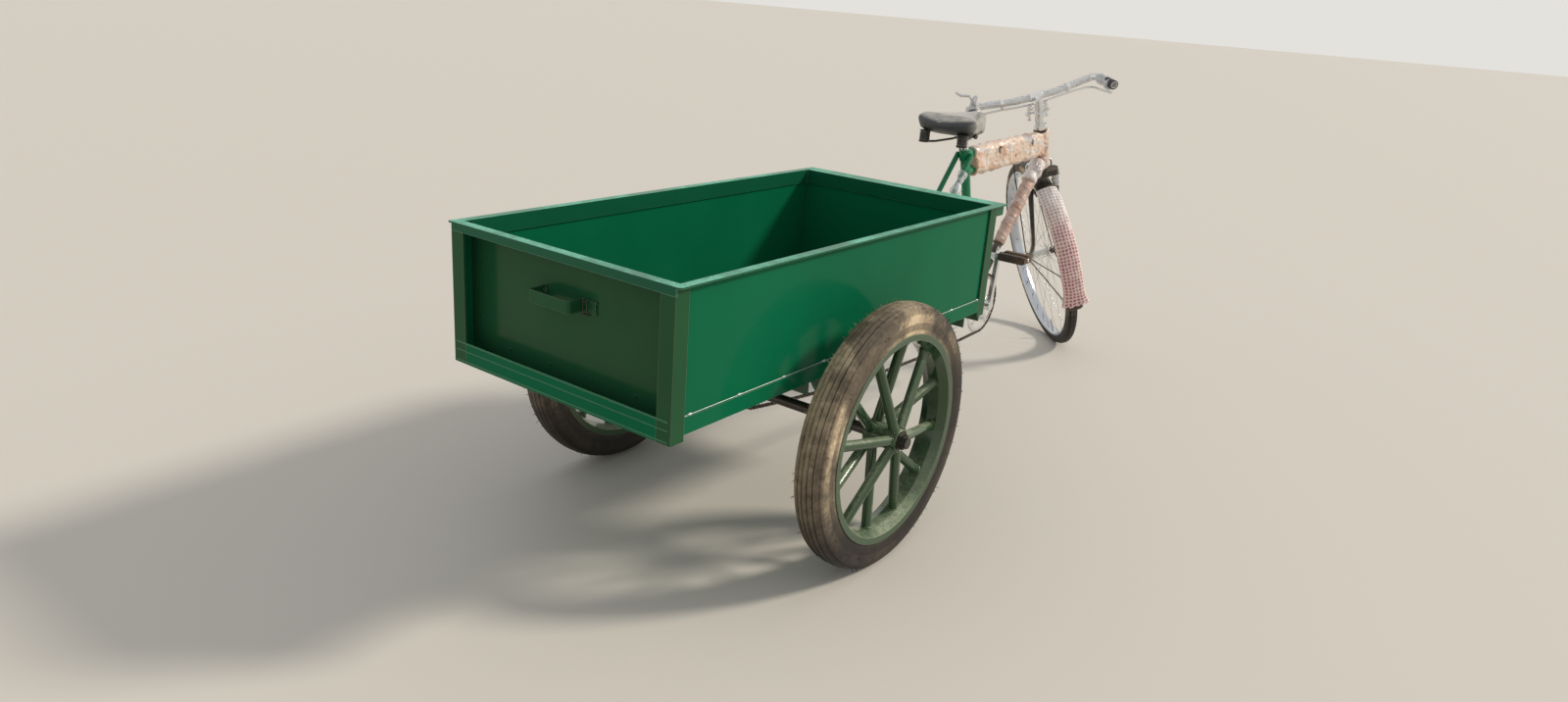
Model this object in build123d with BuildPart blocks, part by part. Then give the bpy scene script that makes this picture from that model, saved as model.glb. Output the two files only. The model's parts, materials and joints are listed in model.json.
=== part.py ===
"""Cargo tricycle: an open steel box on a live rear axle with two tube-spoked wheels,
pulled by the front half of a roadster bicycle whose steering is turned to the left."""
from build123d import *
import os
from math import asin, atan2, cos, degrees, hypot, pi, radians, sin, sqrt

os.makedirs("parts", exist_ok=True)

# Frame: +Z up, +X to the rider's left, -Y forward, millimetres.
# Distances called "ahead" are measured forward from the rear axle.

# Load box
BOX_WIDTH = 634             # over the top rim
BOX_LENGTH = 1277           # over the top rim
BOX_TOP = 730
BOX_BEHIND = 593            # rear face of the box behind the axle
RIM_SIDE_OVERHANG = 9       # rim beyond the posts' side faces
RIM_FRONT_OVERHANG = 38     # rim beyond the front posts
ANGLE_LEG = 36              # width of a corner post's leg
ANGLE_T = 5
POST_FOOT = 431             # height of the posts' lower ends
RAIL_FOOT = 444             # underside of the side rails
RAIL_H = 34
REAR_RAIL_H = 46
REAR_RECESS = 42            # rear panel behind the posts' rear faces
SHEET_T = 2
RIM_T = 4
RIM_LEG = 38                # rim's inner leg below the top
REAR_LIP = 18               # rear rim's outer lip
REAR_FLANGE = 22
GUSSET_H = 26

# Strap handle on the rear panel
HANDLE_W = 116
HANDLE_D = 40
HANDLE_H = 26
HANDLE_T = 4
HANDLE_X = 21
HANDLE_DROP = 90            # its top edge below the rim
HANDLE_FOOT = 36            # how far its foot runs past the strap

# Underframe
BEAM = 30                   # square tube
BEAM_WALL = 3
BEAM_SPREAD = 62            # between the two beams' centre planes
BEAM_FRONT_AHEAD = 770
BEAM_REAR_BEHIND = 190
CROSS_AHEAD = (620, 534, 0, -172)

# Rear axle and hangers
AXLE_R = 13
AXLE_FIT = 0.05
AXLE_THREAD = 6             # beyond the nuts
BEARING_X = 292             # middle of a bearing housing
BEARING_R = 30
BEARING_W = 44
STRUT_W = 34
STRUT_T = 6
STRUT_SPREAD = 125          # strut's upper end from the axle, along the box
COLLAR_R = 20
COLLAR_W = 14
COLLAR_GAP = 1              # collar from its bearing

# Rear wheels
TRACK = 821
REAR_R = 305
REAR_TYRE_W = 72
TYRE_BULGE_R = 272          # radius at which the tyre is widest
TREAD_W = 52                # flat of the tread
RIM_R = 241                 # over the rim's flanges
RIM_W = 67                  # between the flanges' tips
RIM_BEAD_R = 229
RIM_WELL_R = 216
RIM_METAL = 3
RIM_FLANGE_T = 2
RIM_WELL_W = 26
HUB_R = 27
HUB_HALF = 40
HUB_RING = 28               # hub end where a set of spokes meets, from the middle plane
SPOKE_R = 11.5
SPOKES = 12
SPOKE_PHASE = 10            # first spoke, forward of upright
NUT_AF = 30                 # across flats
NUT_T = 11
WASHER_R = 21
WASHER_T = 2.5

# Chain drive
CHAIN_X = -42               # chain plane
PITCH = 12.7
RING_TEETH = 48
SPROCKET_TEETH = 22
TOOTH_T = 2.4
TOOTH_ROOT = 4              # root and tip of a tooth from the pitch circle
TOOTH_TIP = 3.2
TOOTH_FOOT_W = 7.2
TOOTH_NOSE_W = 2
SPROCKET_BOSS_R = 28
RING_RIM_W = 9              # chainring's rim inside the teeth
RING_HUB_R = 24
RING_ARMS = 5
RING_ARM_W = 13
CHAIN_H = 8.4               # height of the link plates
CHAIN_PLATE = 1.4
CHAIN_SEAT = 0.4            # between a plate and the teeth
SEAT_GAP = 0.3              # between a piece and what it is screwed or pressed against
CHAIN_SAG = 26              # of the slack lower run
CHAIN_PINS = 8              # gaps between the pins shown in each straight run
PIN_R = 1.8

# Crank set
BB_AHEAD = 1205
BB_Z = 292
CRANK_L = 170
CRANK_ANGLE = 6             # right crank forward of upright
CRANK_X = 70                # plane of the crank arms
CRANK_T = 13
CRANK_R_BIG = 17
CRANK_R_SMALL = 11
CRANK_W = 18                # arm's width at the spindle and at the pedal
CRANK_W_END = 14
SPINDLE_R = 8
BB_R = 20
BB_HALF = 35
PEDAL_L = 92
PEDAL_W = 62
PEDAL_BLOCK = 24
PEDAL_GAP = 5               # pedal from the crank
PEDAL_SLOT = 20             # between the two rubber blocks
PEDAL_PLATE = 4
PEDAL_INSET = 3             # end plates inside the blocks' outline
PEDAL_AXLE_R = 5

# Bicycle frame
HEAD_TILT = 26              # head axis back from upright
HEAD_AHEAD = 1552           # head axis at the reference height
HEAD_REF_Z = 880
TUBE_R = 12.7
SEAT_TUBE_R = 14.3
STAY_R = 8
CHAIN_STAY_R = 9.5
SEAT_LUG_AHEAD = 1026
SEAT_LUG_Z = 806
SEAT_LUG_R = 17.3
SEAT_LUG_H = 34
POST_DEEP = 60              # seat post inside the seat tube
STAY_FOOT_BACK = 24         # seat stays' feet behind the beams' front ends
UPPER_TUBE_Z = 788          # twin top tubes where they meet the seat tube
TWIN_GAP = 52               # between the twin tubes' centre lines
HEAD_R = 18
HEAD_CUP_R = 21
HEAD_CUP_H = 10
HEAD_BORE = 14.5
HEAD_L = 163
TOP_TUBE_DROP = 35          # upper twin tube below the head tube's top
DOWN_TUBE_RISE = 54         # down tube above the head tube's foot
HEAD_GAP = 0.3              # running gap at the head races
STAY_SPREAD = 44            # seat stays at the lug
CHAIN_STAY_X = 20
WRAP_T = 7                  # paper and film wound on the tubes
WRAP_INSET = 24             # wrap's end from the seat tube
DOWN_WRAP_T = 10            # at the head, and at the lower end
DOWN_WRAP_THIN = 5
DOWN_WRAP_END = 0.62        # share of the down tube that is wrapped, from the head

# Saddle
POST_R = 12.7
SADDLE_AHEAD = 980          # middle of the saddle
SADDLE_L = 284
SADDLE_W = 196
SADDLE_NOSE_W = 46
SADDLE_TOP = 914
SADDLE_H = 52
SADDLE_EDGE = 16            # rounding of the upper edge
SADDLE_WIDEST = 60          # widest place and waist, from the saddle's rear end
SADDLE_WAIST = 118
SADDLE_WAIST_W = 122
POST_TOP = 840
CLAMP_W = 44                # seat clamp on the post's top
CLAMP_L = 32
CLAMP_H = 20
CLAMP_DROP = 6
SPRING_R = 15
SPRING_H = 34
SPRING_TURNS = 5
SPRING_X = 62
SPRING_FROM_REAR = 44
WIRE_R = 4                  # wire frame under the saddle
WIRE_NOSE_X = 14
WIRE_NOSE = 50              # wire's front end and knee, from the saddle's nose
WIRE_KNEE = 80
WIRE_DROP = 16
WIRE_SPREAD = 20            # half spacing where the wire spreads, and its place
WIRE_SPREAD_BACK = 30
NOSE_PLATE_W = 48
NOSE_PLATE_L = 20
NOSE_PLATE_T = 10

# Steering, with the bars turned to the left as the vehicle stands
TURN = 44.7
RAKE = 80.8                 # front hub ahead of the head axis
FRONT_R = 355.6
FRONT_TYRE_R = 19
STEERER_R = 12.5
CROWN_GAP = 15.4            # fork crown above the mudguard
CROWN_H = 22
CROWN_SEAT = 6              # head tube above the crown
CROWN_W = 112
CROWN_D = 34
BLADE_SPREAD = 94
BLADE_R = 11
BLADE_R_LOW = 7
BLADE_BEND = 150            # height where the blades begin to curve forward
BLADE_END_BACK = 6          # lower end of a blade's curve from the axle
BLADE_END_UP = 10
RACE_R = 22                 # crown race
DROPOUT_SPREAD = 98
DROPOUT_T = 5
DROPOUT_R = 14
HEADSET_R = 21
LOCKNUT_R = 16
LOCKNUT_H = 14
TOPNUT_H = 8
STEM_R = 11
STEM_NECK_R = 10
STEM_PROUD = 5              # stem above the bar's middle
BAR_RISE = 102              # bar above the head tube
BAR_FRONT = -45
BAR_R = 11
BAR_WALL = 2
BAR_CLAMP_HALF = 22
BAR_CLAMP_T = 4
BAR_STRAIGHT = 70           # bar runs straight this far from the stem
BAR_BEND_SIDE = 220
BAR_BEND_FRONT = -18
BAR_BEND_RISE = 5           # bends and grips above the bar's middle
BAR_RISE_BEND = 60          # radii of the bar's bends
BAR_GRIP_BEND = 34
GRIP_SIDE = 236
GRIP_FRONT = -140
GRIP_RISE = 20
GRIP_R = 15
GRIP_L = 86
LEVER_DROP = 30
LEVER_R = 4
LEVER_INNER = 30            # lever's inner end and knee, from the middle
LEVER_KNEE = 120
LEVER_AHEAD = 8             # lever ahead of the bar at its inner end and at its knee
KNEE_AHEAD = 12
KNEE_RISE = 6
LEVER_ELBOW = 198           # where the lever turns back under the grip
LEVER_TIP_IN = 6
LEVER_BENDS = (60, 30)
BRACKET_OUT = 45            # lever bracket from the start of the bar's rise
BRACKET_W = 12
BRACKET_T = 3
ROD_R = 3
STIRRUP_R = 3.5
STIRRUP_HALF = 33
STIRRUP_RISE = 24           # stirrup's top above the crown's underside
STIRRUP_BEND = 14
PAD_UP = 296                # pads and stirrup ends, along the head axis
PAD_OUT = 20                # pad's outer and inner side faces
PAD_IN = 8
PAD_T = 8
PAD_L = 40
PAD_CLEAR = 5.5             # pad below the rim

# Front wheel
RIM_OUTER = 322
RIM_INNER = 311
RIM_HALF = 18
FRONT_BEAD_HALF = 13
FRONT_BEAD_R = 315
RIM_SIDE_H = 6              # flat on the rim's side
RIM_CROWN_HALF = 11         # flat of the rim's inner face
TREAD_TURN = 20             # edge of the tread from the crown, degrees
FRONT_SPOKES = 32
FRONT_SPOKE_R = 1
SPOKE_LEAN = 58             # degrees round the flange from its hole to its place on the rim
SPOKE_OFFSET = 1.6          # spokes leave the flange on either face
SPOKE_HOLE_R = 17
FLANGE_R = 20
FLANGE_SIDE = 30
FLANGE_T = 3
FRONT_HUB_R = 12
FRONT_HUB_HALF = 36
FRONT_AXLE_R = 4.7
AXLE_NUT_R = 9
AXLE_NUT_T = 9
AXLE_PROUD = 14             # beyond the dropouts

# Front mudguard and its net wrap
GUARD_GAP = 10.4            # mudguard above the tyre
GUARD_T = 1.6
GUARD_HALF = 29
GUARD_CROWN = 9             # rise of the mudguard's middle over its edges
GUARD_FRONT = 34            # ends of the guard, degrees forward of the head axis
GUARD_REAR = -90
GUARD_STAY_R = 2.2
GUARD_STAYS = (-86, -70, 28)
STAY_EYE = 13               # stays' lower ends from the front axle
NET_REAR = -93
NET_FRONT = -19
NET_T = 9
NET_FLARE = 7               # degrees of the net's lower end that flare
NET_FLARE_T = 5

# Heights along the head axis, from the front hub
GUARD_R = FRONT_R + GUARD_GAP
CROWN_LOW = GUARD_R + GUARD_CROWN + GUARD_T + CROWN_GAP
HEAD_LOW = CROWN_LOW + CROWN_H + CROWN_SEAT
HEAD_TOP = HEAD_LOW + HEAD_L
TOP_TUBE_HEAD = HEAD_TOP - TOP_TUBE_DROP
DOWN_TUBE_HEAD = HEAD_LOW + DOWN_TUBE_RISE
BAR_UP = HEAD_TOP + BAR_RISE
STEM_TOP = BAR_UP + STEM_PROUD
BAR_BEND_UP = BAR_UP + BAR_BEND_RISE
GRIP_UP = BAR_UP + GRIP_RISE

# Places worked out from the sizes above
TILT = radians(HEAD_TILT)
TURNED = radians(TURN)
UP = Vector(0, sin(TILT), cos(TILT))
SIDE = Vector(cos(TURNED), cos(TILT) * sin(TURNED), -sin(TILT) * sin(TURNED))
FRONT = Vector(sin(TURNED), -cos(TILT) * cos(TURNED), sin(TILT) * cos(TURNED))
HUB_Z = (FRONT_R - FRONT_TYRE_R) * sqrt(1 - SIDE.Z ** 2) + FRONT_TYRE_R
HEAD_DROP = (HEAD_REF_Z + RAKE * FRONT.Z - HUB_Z) / UP.Z
HUB_AHEAD = HEAD_AHEAD + HEAD_DROP * UP.Y - RAKE * FRONT.Y
NOSE_AHEAD = HUB_AHEAD + (FRONT_R - FRONT_TYRE_R) * sqrt(1 - SIDE.Y ** 2) + FRONT_TYRE_R
AXLE_Y = (NOSE_AHEAD - BOX_BEHIND) / 2
HUB = Vector(RAKE * FRONT.X, AXLE_Y - HUB_AHEAD, HUB_Z)


def ahead(distance):
    """Y of a place that lies this far ahead of the rear axle."""
    return AXLE_Y - distance


def on_axle(x):
    """Place on the rear axle's line."""
    return Vector(x, AXLE_Y, REAR_R)


def on_spindle(x):
    """Place on the crank spindle's line."""
    return Vector(x, ahead(BB_AHEAD), BB_Z)


def steered(side, front, up):
    """Place measured from the front hub: along its axle, forward, and up the head axis."""
    return HUB + SIDE * side + FRONT * front + UP * up


def head(up):
    """Place on the head axis at a height measured along it from the front hub."""
    return steered(0, -RAKE, up)


def rod(start, end, radius, bore=0, mode=Mode.ADD):
    """Straight round bar between two places, or a tube where a bore is given."""
    run = Vector(*end) - Vector(*start)
    with BuildSketch(Plane(origin=Vector(*start), z_dir=run)) as section:
        Circle(radius)
        if bore:
            Circle(bore, mode=Mode.SUBTRACT)
    extrude(section.sketch, amount=run.length, mode=mode)


def bend_rod(arc, radius, bore=0):
    """Round bar turned along an arc, or a tube where a bore is given."""
    start, along = arc @ 0, arc % 0
    centre = arc.arc_center
    with BuildSketch(Plane(origin=start, z_dir=along)) as section:
        Circle(radius)
        if bore:
            Circle(bore, mode=Mode.SUBTRACT)
    turn = degrees(arc.length / (start - centre).length)
    revolve(section.sketch, axis=Axis(centre, (start - centre).cross(along)), revolution_arc=turn)


def bent_rod(points, bends, radius, bore=0):
    """Round bar along straight runs that are joined by bends of the given radii."""
    with BuildLine() as route:
        FilletPolyline(*points, radius=bends)
    for run in route.line.edges():
        if run.geom_type == GeomType.LINE:
            rod(run @ 0, run @ 1, radius, bore)
        else:
            bend_rod(run, radius, bore)


def block(x, y, z, mode=Mode.ADD):
    """Box between two limits in each direction."""
    middle = [(low + high) / 2 for low, high in (x, y, z)]
    with Locations(Vector(*middle)):
        Box(abs(x[1] - x[0]), abs(y[1] - y[0]), abs(z[1] - z[0]), mode=mode)


def save(piece, name):
    """Label a finished piece and write it under its node's name."""
    piece.part.label = name
    export_step(piece.part, f"parts/{name}.step")


AXLE_HALF = TRACK / 2 + HUB_HALF + SEAT_GAP + WASHER_T + NUT_T + AXLE_THREAD

# Box faces, shared by its pieces
POST_X = BOX_WIDTH / 2 - RIM_SIDE_OVERHANG
POST_REAR = AXLE_Y + BOX_BEHIND
RIM_FRONT = POST_REAR - BOX_LENGTH
POST_FRONT = RIM_FRONT + RIM_FRONT_OVERHANG
SHEET_X = POST_X - ANGLE_T              # outer face of the side sheets
INNER_X = SHEET_X - SHEET_T
FRONT_SHEET = POST_FRONT + ANGLE_T
INNER_FRONT = FRONT_SHEET + SHEET_T
REAR_SHEET = POST_REAR - REAR_RECESS    # rear face of the rear panel
INNER_REAR = REAR_SHEET - SHEET_T
FLOOR_Z = RAIL_FOOT + ANGLE_T
RIM_UNDER = BOX_TOP - RIM_T

# Top rim: flange all round, leg inside the sheets, lip at the rear
with BuildPart() as top_rim:
    block((-BOX_WIDTH / 2, BOX_WIDTH / 2), (RIM_FRONT, POST_REAR), (RIM_UNDER, BOX_TOP))
    block((-INNER_X + RIM_T, INNER_X - RIM_T), (INNER_FRONT + RIM_T, POST_REAR - REAR_FLANGE),
          (RIM_UNDER, BOX_TOP), mode=Mode.SUBTRACT)
    for side in (-1, 1):
        block((side * (INNER_X - RIM_T), side * INNER_X), (INNER_FRONT, INNER_REAR),
              (BOX_TOP - RIM_LEG, RIM_UNDER))
    block((-INNER_X + RIM_T, INNER_X - RIM_T), (INNER_FRONT, INNER_FRONT + RIM_T),
          (BOX_TOP - RIM_LEG, RIM_UNDER))
    block((-POST_X, POST_X), (POST_REAR - RIM_T, POST_REAR), (BOX_TOP - REAR_LIP, RIM_UNDER))
    for side in (-1, 1):
        block((side * (POST_X - ANGLE_T), side * POST_X), (RIM_FRONT, POST_FRONT),
              (RIM_UNDER - GUSSET_H, RIM_UNDER))
    fillet(top_rim.edges().filter_by(Axis.Z).group_by(Axis.Y)[-1].sort_by(Axis.X)[0], 2 * RIM_T)
save(top_rim, "top_rim")

# Corner posts of angle iron, open towards the inside of the box
with BuildPart() as corner_posts:
    for side in (-1, 1):
        for face, inward in ((POST_FRONT, 1), (POST_REAR, -1)):
            top = RIM_UNDER if inward == 1 else BOX_TOP - REAR_LIP
            block((side * (POST_X - ANGLE_T), side * POST_X), (face, face + inward * ANGLE_LEG),
                  (POST_FOOT, RIM_UNDER))
            block((side * (POST_X - ANGLE_LEG), side * (POST_X - ANGLE_T)), (face, face + inward * ANGLE_T),
                  (POST_FOOT, top))
    block((-POST_X, POST_X), (POST_REAR - RIM_T, POST_REAR), (BOX_TOP - REAR_LIP, RIM_UNDER),
          mode=Mode.SUBTRACT)
save(corner_posts, "corner_posts")

# Bottom rails: side and front angles under the floor's edges, and the rear rail with its ledge
with BuildPart() as bottom_rails:
    for side in (-1, 1):
        block((side * SHEET_X, side * POST_X), (POST_FRONT + ANGLE_LEG, POST_REAR - ANGLE_LEG),
              (RAIL_FOOT, RAIL_FOOT + RAIL_H))
        block((side * (POST_X - ANGLE_LEG), side * SHEET_X), (POST_FRONT + ANGLE_T, REAR_SHEET),
              (RAIL_FOOT, FLOOR_Z))
    block((-POST_X + ANGLE_LEG, POST_X - ANGLE_LEG), (POST_FRONT, FRONT_SHEET),
          (RAIL_FOOT, RAIL_FOOT + RAIL_H))
    block((-POST_X + ANGLE_LEG, POST_X - ANGLE_LEG), (FRONT_SHEET, POST_FRONT + ANGLE_LEG),
          (RAIL_FOOT, FLOOR_Z))
    block((-POST_X + ANGLE_LEG, POST_X - ANGLE_LEG), (POST_REAR - ANGLE_T, POST_REAR),
          (POST_FOOT, POST_FOOT + REAR_RAIL_H))
    block((-POST_X + ANGLE_LEG, POST_X - ANGLE_LEG), (REAR_SHEET, POST_REAR - ANGLE_T),
          (RAIL_FOOT, FLOOR_Z + 2 * SHEET_T))
save(bottom_rails, "bottom_rails")

# Sheets of the box
for side, name in ((1, "left_panel"), (-1, "right_panel")):
    with BuildPart() as side_panel:
        block((side * INNER_X, side * SHEET_X), (FRONT_SHEET, POST_REAR - ANGLE_T), (FLOOR_Z, RIM_UNDER))
    save(side_panel, name)

with BuildPart() as front_panel:
    block((-INNER_X, INNER_X), (FRONT_SHEET, INNER_FRONT), (FLOOR_Z, RIM_UNDER))
save(front_panel, "front_panel")

# The rear panel's upper edge is folded back to the rim's lip
FOLD_Z = BOX_TOP - REAR_LIP
with BuildPart() as rear_panel:
    block((-INNER_X, INNER_X), (INNER_REAR, REAR_SHEET), (FLOOR_Z, FOLD_Z))
    block((-INNER_X, INNER_X), (REAR_SHEET, POST_REAR - ANGLE_T), (FOLD_Z - SHEET_T, FOLD_Z))
save(rear_panel, "rear_panel")

with BuildPart() as floor_panel:
    block((-INNER_X, INNER_X), (INNER_FRONT, INNER_REAR), (FLOOR_Z, FLOOR_Z + SHEET_T))
save(floor_panel, "floor_panel")

# Strap handle: a flat bar bent to a U, with one foot that runs on along the panel
HANDLE_TOP = BOX_TOP - HANDLE_DROP
with BuildPart() as rear_handle:
    left, right = HANDLE_X + HANDLE_W / 2, HANDLE_X - HANDLE_W / 2
    low, out = HANDLE_TOP - HANDLE_H, REAR_SHEET + HANDLE_D
    block((right, left), (REAR_SHEET, out), (low, HANDLE_TOP))
    block((right + HANDLE_T, left - HANDLE_T), (REAR_SHEET, out - HANDLE_T), (low, HANDLE_TOP),
          mode=Mode.SUBTRACT)
    fillet(rear_handle.edges().filter_by(Axis.Z).group_by(Axis.Y)[-1], 2 * HANDLE_T)
    block((right - HANDLE_FOOT, right), (REAR_SHEET, REAR_SHEET + HANDLE_T), (low, HANDLE_TOP))
save(rear_handle, "rear_handle")

# Underframe: two square beams that run forward to the bicycle frame, and cross members
BEAM_TOP = RAIL_FOOT
with BuildPart() as chassis_beams:
    for side in (-1, 1):
        x = side * BEAM_SPREAD / 2
        block((x - BEAM / 2, x + BEAM / 2), (ahead(BEAM_FRONT_AHEAD), ahead(-BEAM_REAR_BEHIND)),
              (BEAM_TOP - BEAM, BEAM_TOP))
        block((x - BEAM / 2 + BEAM_WALL, x + BEAM / 2 - BEAM_WALL),
              (ahead(BEAM_FRONT_AHEAD), ahead(-BEAM_REAR_BEHIND)),
              (BEAM_TOP - BEAM + BEAM_WALL, BEAM_TOP - BEAM_WALL), mode=Mode.SUBTRACT)
save(chassis_beams, "chassis_beams")

BEAM_OUT = BEAM_SPREAD / 2 + BEAM / 2
with BuildPart() as cross_members:
    for place in CROSS_AHEAD:
        for side in (-1, 1):
            across = (side * BEAM_OUT, side * (POST_X - ANGLE_T))
            start = ahead(place) - BEAM / 2
            block(across, (start, start + BEAM), (BEAM_TOP - ANGLE_T, BEAM_TOP))
            block(across, (start, start + ANGLE_T), (BEAM_TOP - BEAM, BEAM_TOP - ANGLE_T))
save(cross_members, "cross_members")

# Axle hangers: a pair of flat struts from the rail to each bearing housing
with BuildPart() as axle_hangers:
    for side in (-1, 1):
        for way in (-1, 1):
            top = (AXLE_Y + way * STRUT_SPREAD, RAIL_FOOT)
            foot = (AXLE_Y + way * BEARING_R / 2, REAR_R)
            with BuildSketch(Plane.YZ.offset(side * BEARING_X - STRUT_T / 2)):
                with BuildLine():
                    Polyline((top[0] - STRUT_W / 2, top[1]), (top[0] + STRUT_W / 2, top[1]),
                             (foot[0] + STRUT_W / 2, foot[1]), (foot[0] - STRUT_W / 2, foot[1]), close=True)
                make_face()
            extrude(amount=STRUT_T)
        rod(on_axle(side * BEARING_X - STRUT_T), on_axle(side * BEARING_X + STRUT_T), BEARING_R,
            mode=Mode.SUBTRACT)
save(axle_hangers, "axle_hangers")

with BuildPart() as axle_bearings:
    for side in (-1, 1):
        rod(on_axle(side * BEARING_X - BEARING_W / 2), on_axle(side * BEARING_X + BEARING_W / 2),
            BEARING_R, AXLE_R + AXLE_FIT)
save(axle_bearings, "axle_bearings")

# Live rear axle with the collars that keep it in its bearings
with BuildPart() as rear_axle:
    rod(on_axle(-AXLE_HALF), on_axle(AXLE_HALF), AXLE_R)
    for side in (-1, 1):
        start = side * (BEARING_X - BEARING_W / 2 - COLLAR_GAP)
        rod(on_axle(start), on_axle(start - side * COLLAR_W), COLLAR_R)
save(rear_axle, "rear_axle")


def toothed_disc(x, centre, teeth, thickness):
    """Chain wheel: a disc to the root of its teeth, with one pointed tooth for each link."""
    pitch_r = PITCH / 2 / sin(pi / teeth)
    root, tip = pitch_r - TOOTH_ROOT, pitch_r + TOOTH_TIP
    with BuildSketch(Plane(origin=(x, *centre), x_dir=(0, 1, 0), z_dir=(1, 0, 0))) as disc:
        Circle(root)
        with PolarLocations(0, teeth):
            Polygon((root - TOOTH_NOSE_W, -TOOTH_FOOT_W / 2), (tip, -TOOTH_NOSE_W / 2),
                    (tip, TOOTH_NOSE_W / 2), (root - TOOTH_NOSE_W, TOOTH_FOOT_W / 2), align=None)
    extrude(disc.sketch, amount=thickness / 2, both=True)
    return root


with BuildPart() as rear_sprocket:
    toothed_disc(CHAIN_X, (AXLE_Y, REAR_R), SPROCKET_TEETH, TOOTH_T)
    rod(on_axle(CHAIN_X - COLLAR_W), on_axle(CHAIN_X + COLLAR_W), SPROCKET_BOSS_R)
    rod(on_axle(CHAIN_X - COLLAR_W), on_axle(CHAIN_X + COLLAR_W), AXLE_R, mode=Mode.SUBTRACT)
save(rear_sprocket, "rear_sprocket")

# Rear wheels: the tyre's lower wall is straight, and the rim's flange lies against it
TYRE_HALF = REAR_TYRE_W / 2


def wall_side(low, high, radius):
    """Side distance of a straight tyre wall at a radius, between two (side, radius) places on it."""
    return low[0] + (high[0] - low[0]) * (radius - low[1]) / (high[1] - low[1])


def both_sides(half_outline):
    """Closed outline from its (side, radius) points on one side of the wheel."""
    return [*half_outline, *((-side, radius) for side, radius in reversed(half_outline))]


BULGE = (TYRE_HALF, TYRE_BULGE_R)
BEAD = (wall_side((RIM_W / 2, RIM_R), BULGE, RIM_BEAD_R), RIM_BEAD_R)
WELL = RIM_WELL_W / 2
REAR_TYRE_OUTLINE = both_sides([BEAD, BULGE, (TREAD_W / 2, REAR_R)])
REAR_RIM_OUTLINE = both_sides([
    (WELL, RIM_WELL_R), (BEAD[0] + RIM_FLANGE_T, RIM_BEAD_R - RIM_METAL), (RIM_W / 2 + RIM_FLANGE_T, RIM_R),
    (RIM_W / 2, RIM_R), BEAD, (WELL, RIM_WELL_R + RIM_METAL)])


def wheel_ring(origin, axle, radial, outline):
    """Ring turned from a cross-section drawn along the axle and outwards."""
    with BuildSketch(Plane(origin=origin, x_dir=axle, z_dir=Vector(*axle).cross(Vector(*radial)))) as section:
        with BuildLine():
            Polyline(*outline, close=True)
        make_face()
    revolve(section.sketch, axis=Axis(origin, axle))


for side, name in ((1, "left"), (-1, "right")):
    wheel_x = side * TRACK / 2
    centre = on_axle(wheel_x)
    with BuildPart() as tyre:
        wheel_ring(centre, (1, 0, 0), (0, 0, 1), REAR_TYRE_OUTLINE)
    save(tyre, f"{name}_tyre")
    with BuildPart() as rim:
        wheel_ring(centre, (1, 0, 0), (0, 0, 1), REAR_RIM_OUTLINE)
    save(rim, f"{name}_rim")
    with BuildPart() as spokes:
        rod(on_axle(wheel_x - HUB_HALF), on_axle(wheel_x + HUB_HALF), HUB_R)
        for count in range(SPOKES):
            angle = radians(SPOKE_PHASE + count * 360 / SPOKES)
            ring = side * HUB_RING * (1 if count % 2 else -1)
            outward = Vector(0, -sin(angle), cos(angle))
            rod(on_axle(wheel_x + ring) + outward * (HUB_R - SPOKE_R),
                centre + outward * (RIM_WELL_R + RIM_METAL), SPOKE_R)
        with BuildSketch(Plane(origin=on_axle(wheel_x - RIM_W), x_dir=(0, 1, 0), z_dir=(1, 0, 0))):
            Circle(RIM_R)
            Circle(RIM_WELL_R, mode=Mode.SUBTRACT)
        extrude(amount=2 * RIM_W, mode=Mode.SUBTRACT)
        bore = AXLE_R + (AXLE_FIT if side == 1 else 0)
        rod(on_axle(wheel_x - HUB_HALF), on_axle(wheel_x + HUB_HALF), bore, mode=Mode.SUBTRACT)
    save(spokes, f"{name}_wheel")

with BuildPart() as axle_nuts:
    for side in (-1, 1):
        start = side * (TRACK / 2 + HUB_HALF + SEAT_GAP)
        rod(on_axle(start), on_axle(start + side * WASHER_T), WASHER_R)
        with BuildSketch(Plane(origin=on_axle(start + side * WASHER_T), x_dir=(0, 1, 0), z_dir=(side, 0, 0))):
            RegularPolygon(NUT_AF / 2, 6, major_radius=False)
        extrude(amount=NUT_T)
        rod(on_axle(start), on_axle(start + side * 2 * NUT_T), AXLE_R, mode=Mode.SUBTRACT)
save(axle_nuts, "axle_nuts")

# Chain: two ribbons of link plates round both chain wheels, pinned along the straight runs
RING_R = PITCH / 2 / sin(pi / RING_TEETH)
SPROCKET_R = PITCH / 2 / sin(pi / SPROCKET_TEETH)
BB = on_spindle(0)
REAR_C = on_axle(0)
span = hypot(BB_AHEAD, REAR_R - BB_Z)
slope = atan2(REAR_R - BB_Z, BB_AHEAD)
lead = asin((RING_R - SPROCKET_R) / span)


def rim_point(centre, radius, angle):
    """Point on a circle in the chain's plane, at an angle from the rearward direction."""
    return (centre.Y + radius * cos(angle), centre.Z + radius * sin(angle))


def links_round(centre, radius, start, sweep, teeth):
    """Pin places round a chain wheel, one for each link."""
    count = round(abs(sweep) / (2 * pi / teeth))
    return [rim_point(centre, radius, start + sweep * step / count) for step in range(count + 1)]


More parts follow.
